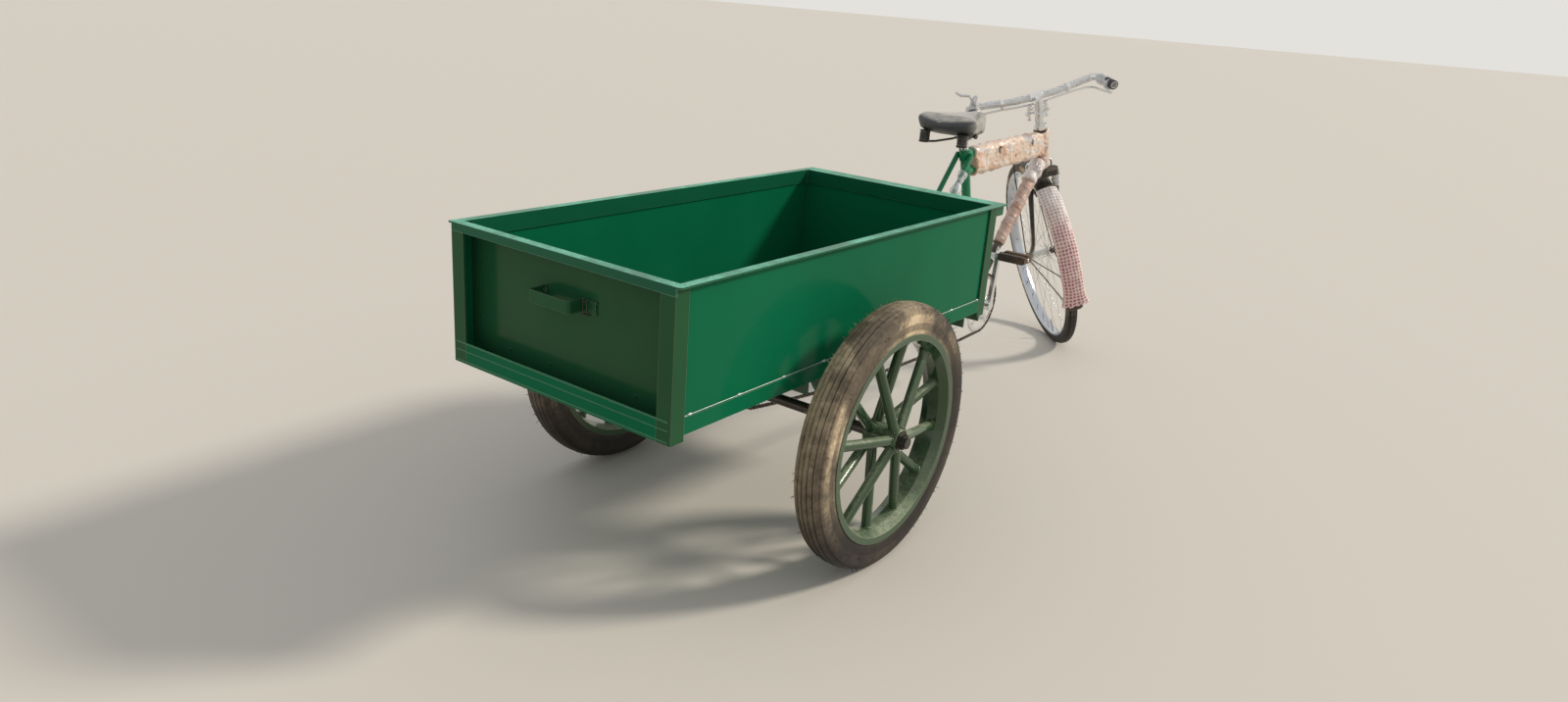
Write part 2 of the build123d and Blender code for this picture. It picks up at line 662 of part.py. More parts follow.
UPPER = pi / 2 + slope - lead
LOWER = -pi / 2 + slope + lead
rear_links = links_round(REAR_C, SPROCKET_R, UPPER, LOWER - UPPER, SPROCKET_TEETH)
front_links = links_round(BB, RING_R, LOWER, UPPER - LOWER - 2 * pi, RING_TEETH)
slack_links, tight_links = [], []
for count in range(1, CHAIN_PINS):
    share = count / CHAIN_PINS
    slack = [rear + share * (front - rear) for rear, front in zip(rear_links[-1], front_links[0])]
    slack_links.append((slack[0], slack[1] - 4 * CHAIN_SAG * share * (1 - share)))
    tight_links.append([front + share * (rear - front) for rear, front in zip(rear_links[0], front_links[-1])])
CHAIN_GAP = TOOTH_T + 2 * CHAIN_SEAT
with BuildPart() as chain:
    for side in (-1, 1):
        middle = CHAIN_X + side * (CHAIN_GAP + CHAIN_PLATE) / 2
        with BuildSketch(Plane.YZ.offset(middle)):
            with BuildLine():
                Polyline(*rear_links, *slack_links, *front_links, close=True)
            make_face()
            offset(amount=CHAIN_H / 2, kind=Kind.INTERSECTION)
            offset(amount=-CHAIN_H, kind=Kind.INTERSECTION, mode=Mode.SUBTRACT)
        extrude(amount=CHAIN_PLATE / 2, both=True)
    for y, z in slack_links + tight_links:
        with BuildSketch(Plane.YZ.offset(CHAIN_X)) as pin:
            with Locations((y, z)):
                RegularPolygon(PIN_R, 6)
        extrude(pin.sketch, amount=(CHAIN_GAP + CHAIN_PLATE) / 2, both=True)
save(chain, "chain")

# Chainring on its arms
with BuildPart() as chainring:
    root = toothed_disc(CHAIN_X, (BB.Y, BB.Z), RING_TEETH, TOOTH_T)
    with BuildSketch(Plane(origin=on_spindle(CHAIN_X - TOOTH_T), x_dir=(0, 1, 0), z_dir=(1, 0, 0))):
        Circle(root - RING_RIM_W)
        Circle(RING_HUB_R, mode=Mode.SUBTRACT)
        with PolarLocations(0, RING_ARMS, start_angle=90):
            Rectangle(2 * root, RING_ARM_W, align=(Align.MIN, Align.CENTER), mode=Mode.SUBTRACT)
    extrude(amount=2 * TOOTH_T, mode=Mode.SUBTRACT)
    rod(on_spindle(CHAIN_X - TOOTH_T), on_spindle(CHAIN_X + TOOTH_T), CRANK_R_BIG, mode=Mode.SUBTRACT)
save(chainring, "chainring")


def crank_end(side):
    """Centre of a crank's pedal eye."""
    angle = radians(CRANK_ANGLE)
    way = 1 if side == -1 else -1
    return Vector(side * CRANK_X, BB.Y - way * CRANK_L * sin(angle), BB.Z + way * CRANK_L * cos(angle))


with BuildPart() as cranks:
    rod(on_spindle(-CRANK_X - CRANK_T / 2), on_spindle(CRANK_X + CRANK_T / 2), SPINDLE_R)
    rod(on_spindle(-CRANK_X), on_spindle(CHAIN_X + TOOTH_T), CRANK_R_BIG)
    for side in (-1, 1):
        eye = crank_end(side)
        run = eye - on_spindle(side * CRANK_X)
        with BuildSketch(Plane(origin=on_spindle(side * CRANK_X), x_dir=run, z_dir=(1, 0, 0))):
            Circle(CRANK_R_BIG)
            with Locations((CRANK_L, 0)):
                Circle(CRANK_R_SMALL)
            with BuildLine():
                Polyline((0, -CRANK_W / 2), (0, CRANK_W / 2), (CRANK_L, CRANK_W_END / 2),
                         (CRANK_L, -CRANK_W_END / 2), close=True)
            make_face()
        extrude(amount=CRANK_T / 2, both=True)
        rod((side * CRANK_X, eye.Y, eye.Z), (side * (CRANK_X + CRANK_T + PEDAL_L), eye.Y, eye.Z), PEDAL_AXLE_R)
save(cranks, "cranks")

for side, name in ((1, "left_pedal"), (-1, "right_pedal")):
    eye = crank_end(side)
    start = CRANK_X + CRANK_T / 2 + PEDAL_GAP
    end = start + PEDAL_L
    with BuildPart() as pedal:
        for way in (-1, 1):
            block((side * (start + PEDAL_PLATE), side * (end - PEDAL_PLATE)),
                  (eye.Y + way * PEDAL_SLOT / 2, eye.Y + way * PEDAL_W / 2),
                  (eye.Z - PEDAL_BLOCK / 2, eye.Z + PEDAL_BLOCK / 2))
        plate_half, plate_high = PEDAL_W / 2 - PEDAL_INSET, PEDAL_BLOCK / 2 - PEDAL_INSET
        for low, high in ((start, start + PEDAL_PLATE), (end - PEDAL_PLATE, end)):
            block((side * low, side * high), (eye.Y - plate_half, eye.Y + plate_half),
                  (eye.Z - plate_high, eye.Z + plate_high))
        rod((side * start, eye.Y, eye.Z), (side * end, eye.Y, eye.Z), PEDAL_AXLE_R + AXLE_FIT,
            mode=Mode.SUBTRACT)
    save(pedal, name)

# Bicycle frame, cut from its neighbours where tubes meet
SEAT_LUG = Vector(0, ahead(SEAT_LUG_AHEAD), SEAT_LUG_Z)
SEAT_DIR = (SEAT_LUG - BB).normalized()


def on_seat_tube(z):
    """Place on the seat tube's centre line at a height."""
    return BB + SEAT_DIR * ((z - BB.Z) / SEAT_DIR.Z)


with BuildPart() as bottom_bracket:
    rod(on_spindle(-BB_HALF), on_spindle(BB_HALF), BB_R, SPINDLE_R + AXLE_FIT)
save(bottom_bracket, "bottom_bracket")

with BuildPart() as seat_tube:
    rod(BB, SEAT_LUG, SEAT_TUBE_R)
    rod(on_seat_tube(SEAT_LUG_Z - SEAT_LUG_H), SEAT_LUG, SEAT_LUG_R)
    rod(on_spindle(-BB_HALF), on_spindle(BB_HALF), BB_R, mode=Mode.SUBTRACT)
    rod(on_seat_tube(SEAT_LUG_Z - POST_DEEP), on_seat_tube(SEAT_LUG_Z + POST_R), POST_R, mode=Mode.SUBTRACT)
save(seat_tube, "seat_tube")

with BuildPart() as head_tube:
    rod(head(HEAD_LOW), head(HEAD_TOP), HEAD_R)
    for low in (HEAD_LOW, HEAD_TOP - HEAD_CUP_H):
        rod(head(low), head(low + HEAD_CUP_H), HEAD_CUP_R)
    rod(head(HEAD_LOW - HEAD_CUP_H), head(HEAD_TOP + HEAD_CUP_H), HEAD_BORE, mode=Mode.SUBTRACT)
save(head_tube, "head_tube")

TWIN_TUBES = []
for drop in (0, TWIN_GAP):
    TWIN_TUBES.append((on_seat_tube(UPPER_TUBE_Z - drop), head(TOP_TUBE_HEAD - drop)))

with BuildPart() as top_tubes:
    for rear, front in TWIN_TUBES:
        rod(rear, front, TUBE_R)
    rod(BB, SEAT_LUG, SEAT_TUBE_R, mode=Mode.SUBTRACT)
    rod(on_seat_tube(SEAT_LUG_Z - SEAT_LUG_H), SEAT_LUG, SEAT_LUG_R, mode=Mode.SUBTRACT)
    rod(head(HEAD_LOW), head(HEAD_TOP), HEAD_R, mode=Mode.SUBTRACT)
    rod(head(HEAD_TOP - HEAD_CUP_H), head(HEAD_TOP), HEAD_CUP_R, mode=Mode.SUBTRACT)
save(top_tubes, "top_tubes")

with BuildPart() as down_tube:
    rod(BB, head(DOWN_TUBE_HEAD), SEAT_TUBE_R)
    rod(on_spindle(-BB_HALF), on_spindle(BB_HALF), BB_R, mode=Mode.SUBTRACT)
    rod(BB, SEAT_LUG, SEAT_TUBE_R, mode=Mode.SUBTRACT)
    rod(head(HEAD_LOW), head(HEAD_TOP), HEAD_R, mode=Mode.SUBTRACT)
    for rear, front in TWIN_TUBES:
        rod(rear, front, TUBE_R, mode=Mode.SUBTRACT)
save(down_tube, "down_tube")

BEAM_NOSE = ahead(BEAM_FRONT_AHEAD - STAY_FOOT_BACK)
with BuildPart() as seat_stays:
    for side in (-1, 1):
        rod(on_seat_tube(SEAT_LUG_Z - SEAT_LUG_H / 2) + Vector(side * STAY_SPREAD / 2, 0, 0),
            (side * BEAM_SPREAD / 2, BEAM_NOSE, BEAM_TOP), STAY_R)
    block((-BEAM_SPREAD, BEAM_SPREAD), (BEAM_NOSE - 2 * BEAM, BEAM_NOSE + 2 * BEAM),
          (BEAM_TOP - 2 * BEAM, BEAM_TOP), mode=Mode.SUBTRACT)
    rod(on_seat_tube(SEAT_LUG_Z - SEAT_LUG_H), SEAT_LUG, SEAT_LUG_R, mode=Mode.SUBTRACT)
save(seat_stays, "seat_stays")

with BuildPart() as chain_stays:
    for side in (-1, 1):
        x = side * CHAIN_STAY_X
        rod(on_spindle(x), (x, BEAM_NOSE, BEAM_TOP - BEAM / 2), CHAIN_STAY_R)
    rod(on_spindle(-BB_HALF), on_spindle(BB_HALF), BB_R, mode=Mode.SUBTRACT)
    rod(BB, SEAT_LUG, SEAT_TUBE_R, mode=Mode.SUBTRACT)
    block((-BEAM_SPREAD, BEAM_SPREAD), (ahead(BEAM_FRONT_AHEAD), ahead(0)), (BEAM_TOP - BEAM, BEAM_TOP),
          mode=Mode.SUBTRACT)
save(chain_stays, "chain_stays")

# Paper and film wound round the twin tubes, the head tube and the down tube
WRAP_R = TUBE_R + WRAP_T
SLEEVE_R = HEAD_R + WRAP_T
with BuildPart() as top_wrap:
    wrapped = []
    for rear, front in TWIN_TUBES:
        start = rear + (front - rear).normalized() * (SEAT_LUG_R + WRAP_INSET)
        rod(start, front, WRAP_R)
        wrapped.append((start, front))
    (upper_start, upper_front), (lower_start, lower_front) = wrapped
    corners = (upper_start, upper_front, lower_front, lower_start)
    with BuildSketch(Plane.YZ):
        with BuildLine():
            Polyline(*((corner.Y, corner.Z) for corner in corners), close=True)
        make_face()
    extrude(amount=WRAP_R, both=True)
    rod(head(HEAD_LOW + HEAD_CUP_H), head(HEAD_TOP - HEAD_CUP_H), SLEEVE_R)
    for rear, front in TWIN_TUBES:
        rod(rear, front, TUBE_R, mode=Mode.SUBTRACT)
    rod(BB, head(DOWN_TUBE_HEAD), SEAT_TUBE_R, mode=Mode.SUBTRACT)
    rod(head(HEAD_LOW), head(HEAD_TOP + HEAD_CUP_H), HEAD_R, mode=Mode.SUBTRACT)
    rod(head(HEAD_LOW), head(HEAD_LOW + HEAD_CUP_H), SLEEVE_R + WRAP_T, mode=Mode.SUBTRACT)
    rod(head(HEAD_TOP - HEAD_CUP_H), head(HEAD_TOP + 4 * HEAD_CUP_H), HEAD_CUP_R + WRAP_T, mode=Mode.SUBTRACT)
save(top_wrap, "top_wrap")

DOWN_LENGTH = (head(DOWN_TUBE_HEAD) - BB).length
DOWN_DIR = (head(DOWN_TUBE_HEAD) - BB).normalized()
with BuildPart() as down_wrap:
    wrap_start = BB + DOWN_DIR * DOWN_LENGTH * (1 - DOWN_WRAP_END)
    length = DOWN_LENGTH * DOWN_WRAP_END
    thin, thick = SEAT_TUBE_R + DOWN_WRAP_THIN, SEAT_TUBE_R + DOWN_WRAP_T
    wheel_ring(wrap_start, DOWN_DIR, (1, 0, 0),
               [(0, SEAT_TUBE_R), (0, thin), (length, thick), (length, SEAT_TUBE_R)])
    rod(head(HEAD_LOW), head(HEAD_TOP), SLEEVE_R, mode=Mode.SUBTRACT)
    rod(lower_start, lower_front, WRAP_R, mode=Mode.SUBTRACT)
save(down_wrap, "down_wrap")

# Seat post, saddle springs and saddle
POST_END = on_seat_tube(POST_TOP)
CLAMP_BOX = ((-CLAMP_W / 2, CLAMP_W / 2), (POST_END.Y - CLAMP_L / 2, POST_END.Y + CLAMP_L / 2),
             (POST_TOP - CLAMP_DROP, POST_TOP - CLAMP_DROP + CLAMP_H))
with BuildPart() as seat_post:
    rod(on_seat_tube(SEAT_LUG_Z - POST_DEEP), POST_END, POST_R)
    block(*CLAMP_BOX)
save(seat_post, "seat_post")

SADDLE_Y = ahead(SADDLE_AHEAD)
SADDLE_REAR = SADDLE_Y + SADDLE_L / 2
SADDLE_NOSE = SADDLE_Y - SADDLE_L / 2
SADDLE_UNDER = SADDLE_TOP - SADDLE_H
with BuildPart() as saddle:
    with BuildSketch(Plane.XY.offset(SADDLE_UNDER)):
        with BuildLine():
            half, nose = SADDLE_W / 2, SADDLE_NOSE_W / 2
            widest, waist = SADDLE_REAR - SADDLE_WIDEST, SADDLE_REAR - SADDLE_WAIST
            ThreePointArc((-half, widest), (0, SADDLE_REAR), (half, widest))
            ThreePointArc((-nose, SADDLE_NOSE + nose), (0, SADDLE_NOSE), (nose, SADDLE_NOSE + nose))
            for side in (-1, 1):
                ThreePointArc((side * half, widest), (side * SADDLE_WAIST_W / 2, waist),
                              (side * nose, SADDLE_NOSE + nose))
        make_face()
    extrude(amount=SADDLE_H)
    fillet(saddle.faces().sort_by(Axis.Z)[-1].edges(), SADDLE_EDGE)
save(saddle, "saddle")

SPRING_Y = SADDLE_REAR - SPRING_FROM_REAR
SPRING_FOOT = SADDLE_UNDER - SPRING_H
SPRING_OUTLINE = [(0, SPRING_R - WIRE_R)]
for turn in range(SPRING_TURNS):
    rise = SPRING_H / SPRING_TURNS
    SPRING_OUTLINE += [((turn + 0.5) * rise, SPRING_R), ((turn + 1) * rise, SPRING_R - WIRE_R)]
SPRING_OUTLINE += [(SPRING_H, 0), (0, 0)]
with BuildPart() as saddle_springs:
    for side in (-1, 1):
        wheel_ring((side * SPRING_X, SPRING_Y, SPRING_FOOT), (0, 0, 1), (1, 0, 0), SPRING_OUTLINE)
        bent_rod([(side * WIRE_NOSE_X, SADDLE_NOSE + WIRE_NOSE, SADDLE_UNDER - NOSE_PLATE_T / 2),
                  (side * WIRE_NOSE_X, SADDLE_NOSE + WIRE_KNEE, SADDLE_UNDER - WIRE_DROP),
                  (side * WIRE_SPREAD, SADDLE_Y + WIRE_SPREAD_BACK, SADDLE_UNDER - WIRE_DROP),
                  (side * SPRING_X, SPRING_Y, SPRING_FOOT + WIRE_R)], [WIRE_SPREAD, WIRE_SPREAD_BACK], WIRE_R)
    block((-NOSE_PLATE_W / 2, NOSE_PLATE_W / 2), (SADDLE_NOSE + WIRE_NOSE - NOSE_PLATE_L / 2,
          SADDLE_NOSE + WIRE_NOSE + NOSE_PLATE_L / 2), (SADDLE_UNDER - NOSE_PLATE_T, SADDLE_UNDER))
    rod((-SPRING_X, SPRING_Y, SPRING_FOOT + WIRE_R), (SPRING_X, SPRING_Y, SPRING_FOOT + WIRE_R), WIRE_R)
    block(*CLAMP_BOX, mode=Mode.SUBTRACT)
save(saddle_springs, "saddle_springs")

# Fork: steerer, crown, blades that taper and curve forward, and dropouts
with BuildPart() as fork:
    rod(head(CROWN_LOW + CROWN_H / 2), head(HEAD_TOP + LOCKNUT_H), STEERER_R)
    rod(head(CROWN_LOW + CROWN_H / 2), head(HEAD_LOW - HEAD_GAP), RACE_R)
    with BuildSketch(Plane(origin=head(CROWN_LOW), x_dir=SIDE, z_dir=UP)):
        SlotOverall(CROWN_W, CROWN_D)
    extrude(amount=CROWN_H)
    for side in (-1, 1):
        top = steered(side * BLADE_SPREAD / 2, -RAKE, CROWN_LOW + CROWN_H / 2)
        bend = steered(side * BLADE_SPREAD / 2, -RAKE, BLADE_BEND)
        tip = steered(side * BLADE_SPREAD / 2, -BLADE_END_BACK, BLADE_END_UP)
        taper = (top - bend).length
        wheel_ring(bend, UP, SIDE, [(0, 0), (0, BLADE_R_LOW), (taper, BLADE_R), (taper, 0)])
        with BuildLine() as curve:
            TangentArc(bend, tip, tangent=bend - top)
        bend_rod(curve.edge(), BLADE_R_LOW)
        outer = side * DROPOUT_SPREAD / 2
        rod(steered(outer - side * DROPOUT_T, 0, 0), steered(outer, 0, 0), DROPOUT_R)
    rod(steered(-DROPOUT_SPREAD, 0, 0), steered(DROPOUT_SPREAD, 0, 0), FRONT_AXLE_R, mode=Mode.SUBTRACT)
save(fork, "fork")

with BuildPart() as head_nuts:
    rod(head(HEAD_TOP + HEAD_GAP), head(HEAD_TOP + LOCKNUT_H), HEADSET_R)
    rod(head(HEAD_TOP + LOCKNUT_H), head(HEAD_TOP + LOCKNUT_H + TOPNUT_H), LOCKNUT_R)
    rod(head(HEAD_TOP), head(HEAD_TOP + LOCKNUT_H), STEERER_R, mode=Mode.SUBTRACT)
    rod(head(HEAD_TOP), head(HEAD_TOP + LOCKNUT_H + 2 * TOPNUT_H), STEM_R, mode=Mode.SUBTRACT)
save(head_nuts, "head_nuts")

with BuildPart() as stem:
    bar_clamp = (steered(-BAR_CLAMP_HALF, BAR_FRONT, BAR_UP), steered(BAR_CLAMP_HALF, BAR_FRONT, BAR_UP))
    rod(head(HEAD_TOP + LOCKNUT_H), head(STEM_TOP), STEM_R)
    rod(head(BAR_UP), steered(0, BAR_FRONT, BAR_UP), STEM_NECK_R)
    rod(*bar_clamp, BAR_R + BAR_CLAMP_T)
    rod(*bar_clamp, BAR_R, mode=Mode.SUBTRACT)
save(stem, "stem")

BAR_POINTS = [steered(-GRIP_SIDE, GRIP_FRONT, GRIP_UP), steered(-BAR_BEND_SIDE, BAR_BEND_FRONT, BAR_BEND_UP),
              steered(-BAR_STRAIGHT, BAR_FRONT, BAR_UP), steered(BAR_STRAIGHT, BAR_FRONT, BAR_UP),
              steered(BAR_BEND_SIDE, BAR_BEND_FRONT, BAR_BEND_UP), steered(GRIP_SIDE, GRIP_FRONT, GRIP_UP)]
with BuildPart() as handlebar:
    bent_rod(BAR_POINTS, [BAR_GRIP_BEND, BAR_RISE_BEND, BAR_RISE_BEND, BAR_GRIP_BEND], BAR_R, BAR_R - BAR_WALL)
save(handlebar, "handlebar")

with BuildPart() as grips:
    for end, bend in ((BAR_POINTS[0], BAR_POINTS[1]), (BAR_POINTS[-1], BAR_POINTS[-2])):
        run = (bend - end).normalized()
        rod(end, end + run * GRIP_L, GRIP_R, BAR_R)
save(grips, "grips")

# Rod brake: lever rods below the bar, a pull rod, and a stirrup with its pads
with BuildPart() as brake_levers:
    low = BAR_UP - LEVER_DROP
    inner = [steered(side * LEVER_INNER, BAR_FRONT + LEVER_AHEAD, low) for side in (-1, 1)]
    for side in (-1, 1):
        bent_rod([inner[0] if side == -1 else inner[1],
                  steered(side * LEVER_KNEE, BAR_FRONT + KNEE_AHEAD, low + KNEE_RISE),
                  steered(side * LEVER_ELBOW, BAR_BEND_FRONT - LEVER_AHEAD, BAR_BEND_UP - LEVER_DROP),
                  steered(side * (GRIP_SIDE - LEVER_TIP_IN), GRIP_FRONT + LEVER_TIP_IN, GRIP_UP - LEVER_DROP)],
                 list(LEVER_BENDS), LEVER_R)
        rise_start = steered(side * BAR_STRAIGHT, BAR_FRONT, BAR_UP)
        rise_end = steered(side * BAR_BEND_SIDE, BAR_BEND_FRONT, BAR_BEND_UP)
        along = (rise_end - rise_start).normalized()
        bracket = rise_start + along * BRACKET_OUT
        rod(bracket - along * BRACKET_W / 2, bracket + along * BRACKET_W / 2, BAR_R + BRACKET_T)
        pivot = steered(side * (BAR_STRAIGHT + BRACKET_OUT), BAR_FRONT + KNEE_AHEAD, low + KNEE_RISE)
        rod(bracket, pivot, LEVER_R)
        rod(rise_start, rise_end, BAR_R + SEAT_GAP, mode=Mode.SUBTRACT)
    rod(*inner, LEVER_R)
save(brake_levers, "brake_levers")

STIRRUP_FRONT = BAR_FRONT + LEVER_AHEAD
STIRRUP_TOP = CROWN_LOW + STIRRUP_RISE
with BuildPart() as brake_rods:
    rod(steered(0, STIRRUP_FRONT, BAR_UP - LEVER_DROP - LEVER_R), steered(0, STIRRUP_FRONT, STIRRUP_TOP), ROD_R)
    feet = [steered(side * STIRRUP_HALF, STIRRUP_FRONT, PAD_UP) for side in (-1, 1)]
    tops = [steered(side * STIRRUP_HALF, STIRRUP_FRONT, STIRRUP_TOP) for side in (-1, 1)]
    bent_rod([feet[0], *tops, feet[1]], [STIRRUP_BEND, STIRRUP_BEND], STIRRUP_R)
    for side, foot in zip((-1, 1), feet):
        rod(foot, steered(side * PAD_OUT, STIRRUP_FRONT, PAD_UP), STIRRUP_R)
save(brake_rods, "brake_rods")

PAD_OUTWARD = (FRONT * STIRRUP_FRONT + UP * PAD_UP).normalized()
with BuildPart() as brake_pads:
    for side in (-1, 1):
        foot = HUB + PAD_OUTWARD * (RIM_INNER - PAD_CLEAR - PAD_T) + SIDE * side * (PAD_OUT + PAD_IN) / 2
        with BuildSketch(Plane(origin=foot, x_dir=SIDE, z_dir=PAD_OUTWARD)):
            Rectangle(PAD_OUT - PAD_IN - SEAT_GAP, PAD_L)
        extrude(amount=PAD_T)
save(brake_pads, "brake_pads")

# Front wheel, built like the rear ones: the rim's lips lie against the tyre's straight lower walls
TREAD_R = FRONT_R - FRONT_TYRE_R
FRONT_BEAD = (FRONT_BEAD_HALF, FRONT_BEAD_R)
FRONT_BULGE = (FRONT_TYRE_R, TREAD_R)
tread_edge = (FRONT_TYRE_R * sin(radians(TREAD_TURN)), TREAD_R + FRONT_TYRE_R * cos(radians(TREAD_TURN)))
with BuildPart() as front_tyre:
    wheel_ring(HUB, SIDE, UP, both_sides([FRONT_BEAD, FRONT_BULGE, tread_edge]))
save(front_tyre, "front_tyre")

LIP_SIDE = wall_side(FRONT_BEAD, FRONT_BULGE, RIM_OUTER)
FRONT_RIM_OUTLINE = both_sides([(RIM_CROWN_HALF, RIM_INNER), (RIM_HALF, RIM_OUTER - RIM_SIDE_H),
                                (RIM_HALF, RIM_OUTER), (LIP_SIDE, RIM_OUTER), FRONT_BEAD])
with BuildPart() as front_rim:
    wheel_ring(HUB, SIDE, UP, FRONT_RIM_OUTLINE)
save(front_rim, "front_rim")

with BuildPart() as front_spokes:
    rod(steered(-FRONT_HUB_HALF, 0, 0), steered(FRONT_HUB_HALF, 0, 0), FRONT_HUB_R)
    for side in (-1, 1):
        middle = side * FLANGE_SIDE
        rod(steered(middle - FLANGE_T / 2, 0, 0), steered(middle + FLANGE_T / 2, 0, 0), FLANGE_R)
    rod(steered(-FRONT_HUB_HALF, 0, 0), steered(FRONT_HUB_HALF, 0, 0), FRONT_AXLE_R + AXLE_FIT,
        mode=Mode.SUBTRACT)
    for count in range(FRONT_SPOKES):
        side = 1 if count % 2 else -1
        at_rim = radians(count * 360 / FRONT_SPOKES)
        way = 1 if count % 4 < 2 else -1
        at_hub = at_rim + way * radians(SPOKE_LEAN)
        start = steered(side * (FLANGE_SIDE + way * SPOKE_OFFSET), SPOKE_HOLE_R * sin(at_hub),
                        SPOKE_HOLE_R * cos(at_hub))
        reach = RIM_INNER - SEAT_GAP
        end = steered(0, reach * sin(at_rim), reach * cos(at_rim))
        with BuildSketch(Plane(origin=start, z_dir=end - start)):
            RegularPolygon(FRONT_SPOKE_R, 5)
        extrude(amount=(end - start).length)
save(front_spokes, "front_spokes")

with BuildPart() as front_axle:
    reach = DROPOUT_SPREAD / 2 + AXLE_PROUD
    rod(steered(-reach, 0, 0), steered(reach, 0, 0), FRONT_AXLE_R)
    for side in (-1, 1):
        start = side * DROPOUT_SPREAD / 2
        rod(steered(start, 0, 0), steered(start + side * AXLE_NUT_T, 0, 0), AXLE_NUT_R)
save(front_axle, "front_axle")

# Front mudguard: a rolled strip round the wheel with its wire stays
GUARD_OUTLINE = ((-GUARD_HALF, GUARD_R), (-0.6 * GUARD_HALF, GUARD_R + 0.75 * GUARD_CROWN),
                 (0, GUARD_R + GUARD_CROWN), (0.6 * GUARD_HALF, GUARD_R + 0.75 * GUARD_CROWN),
                 (GUARD_HALF, GUARD_R))


def guard_shell(inner, outer, start, end):
    """Strip turned round the wheel between two outlines, from its front end back to its rear end."""
    begin = radians(end)
    radial = UP * cos(begin) + FRONT * sin(begin)
    with BuildSketch(Plane(origin=HUB, x_dir=SIDE, z_dir=SIDE.cross(radial))) as section:
        with BuildLine():
            Polyline(*inner, *reversed(outer), close=True)
        make_face()
    revolve(section.sketch, axis=Axis(HUB, SIDE), revolution_arc=start - end)


with BuildPart() as front_mudguard:
    outer = [(side, radius + GUARD_T) for side, radius in GUARD_OUTLINE]
    guard_shell(GUARD_OUTLINE, outer, GUARD_FRONT, GUARD_REAR)
    for angle in GUARD_STAYS:
        forward, up = sin(radians(angle)), cos(radians(angle))
        for side in (-1, 1):
            eye_side = side * (DROPOUT_SPREAD / 2 + GUARD_STAY_R + SEAT_GAP)
            edge = (side * (GUARD_HALF - GUARD_T / 2), GUARD_R + GUARD_T / 2)
            rod(steered(eye_side, STAY_EYE * forward, STAY_EYE * up),
                steered(edge[0], edge[1] * forward, edge[1] * up), GUARD_STAY_R)
save(front_mudguard, "front_mudguard")


def net_outline(thick):
    """Outer outline of the net sleeve at a thickness over the mudguard."""
    side = GUARD_HALF + thick
    crown = GUARD_R + GUARD_CROWN + thick
    return [(-side, GUARD_R), (-side, GUARD_R + thick), (-GUARD_HALF / 2, crown), (GUARD_HALF / 2, crown),
            (side, GUARD_R + thick), (side, GUARD_R)]


with BuildPart() as mudguard_net:
    room = GUARD_HALF + 2 * GUARD_STAY_R
    inner = [(-room, GUARD_R), (-room, GUARD_R + GUARD_T + SEAT_GAP)]
    inner += [(side, radius + GUARD_T + SEAT_GAP) for side, radius in GUARD_OUTLINE[1:-1]]
    inner += [(room, GUARD_R + GUARD_T + SEAT_GAP), (room, GUARD_R)]
    guard_shell(inner, net_outline(NET_T), NET_FRONT, NET_REAR)
    guard_shell(inner, net_outline(NET_T + NET_FLARE_T), NET_REAR + NET_FLARE, NET_REAR)
save(mudguard_net, "mudguard_net")
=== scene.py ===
# %% [markdown]
# # A cargo tricycle, dressed for its portrait
# The tricycle arrives as a finished set of solids: a steel load box, two tube-spoked rear wheels and the
# front half of a roadster bicycle. Nothing here moves or resizes them. This script gives each one the
# surface it has on the real machine, adds what is too fine for the solids (tyre ribs, chain links, weld
# beads, wire springs, torn wrapping), and sets a camera where the photographer stood.

# %% Load the solids
import json
import random
from math import asin, atan2, cos, hypot, pi, radians, sin

import bmesh
import bpy
from mathutils import Matrix, Vector, noise


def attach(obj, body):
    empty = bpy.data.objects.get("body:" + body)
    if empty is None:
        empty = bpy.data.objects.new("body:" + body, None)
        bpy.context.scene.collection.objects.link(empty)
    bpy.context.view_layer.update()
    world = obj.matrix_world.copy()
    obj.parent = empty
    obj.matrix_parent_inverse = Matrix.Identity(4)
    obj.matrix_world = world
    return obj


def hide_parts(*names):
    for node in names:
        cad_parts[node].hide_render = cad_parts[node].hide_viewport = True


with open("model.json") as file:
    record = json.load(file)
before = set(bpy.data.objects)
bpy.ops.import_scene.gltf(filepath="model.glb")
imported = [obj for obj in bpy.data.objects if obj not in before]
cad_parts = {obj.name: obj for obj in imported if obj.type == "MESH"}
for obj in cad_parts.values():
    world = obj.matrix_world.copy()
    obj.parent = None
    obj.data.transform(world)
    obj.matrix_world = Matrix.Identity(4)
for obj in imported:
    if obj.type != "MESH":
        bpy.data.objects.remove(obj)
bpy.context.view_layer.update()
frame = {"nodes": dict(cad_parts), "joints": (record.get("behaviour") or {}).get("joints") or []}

nodes = frame["nodes"]
chance = random.Random(7)
# Without a seed, noise_vector would follow the clock and the weld beads would differ from run to run
noise.seed_set(7)
MM = 0.001
X, Z = Vector((1, 0, 0)), Vector((0, 0, 1))

# %% [markdown]
# ## The camera
# The lens and the place come from the photograph: straight edges of the load box and the rims of the wheels
# fix both. A camera in Blender looks down its own -Z, so its matrix is made of three columns: what is right
# in the picture, what is up in it, and the reverse of the view.

# %% Camera
FOCAL_MM, SENSOR_MM = 24.06, 36
CAMERA_AT = Vector((-1.4612, 2.6641, 1.2220))
YAW, TILT, ROLL = radians(35.5), radians(-19.0), radians(4.4)


def show(name, data):
    """Object made of some data, in the scene."""
    made = bpy.data.objects.new(name, data)
    bpy.context.scene.collection.objects.link(made)
    return made


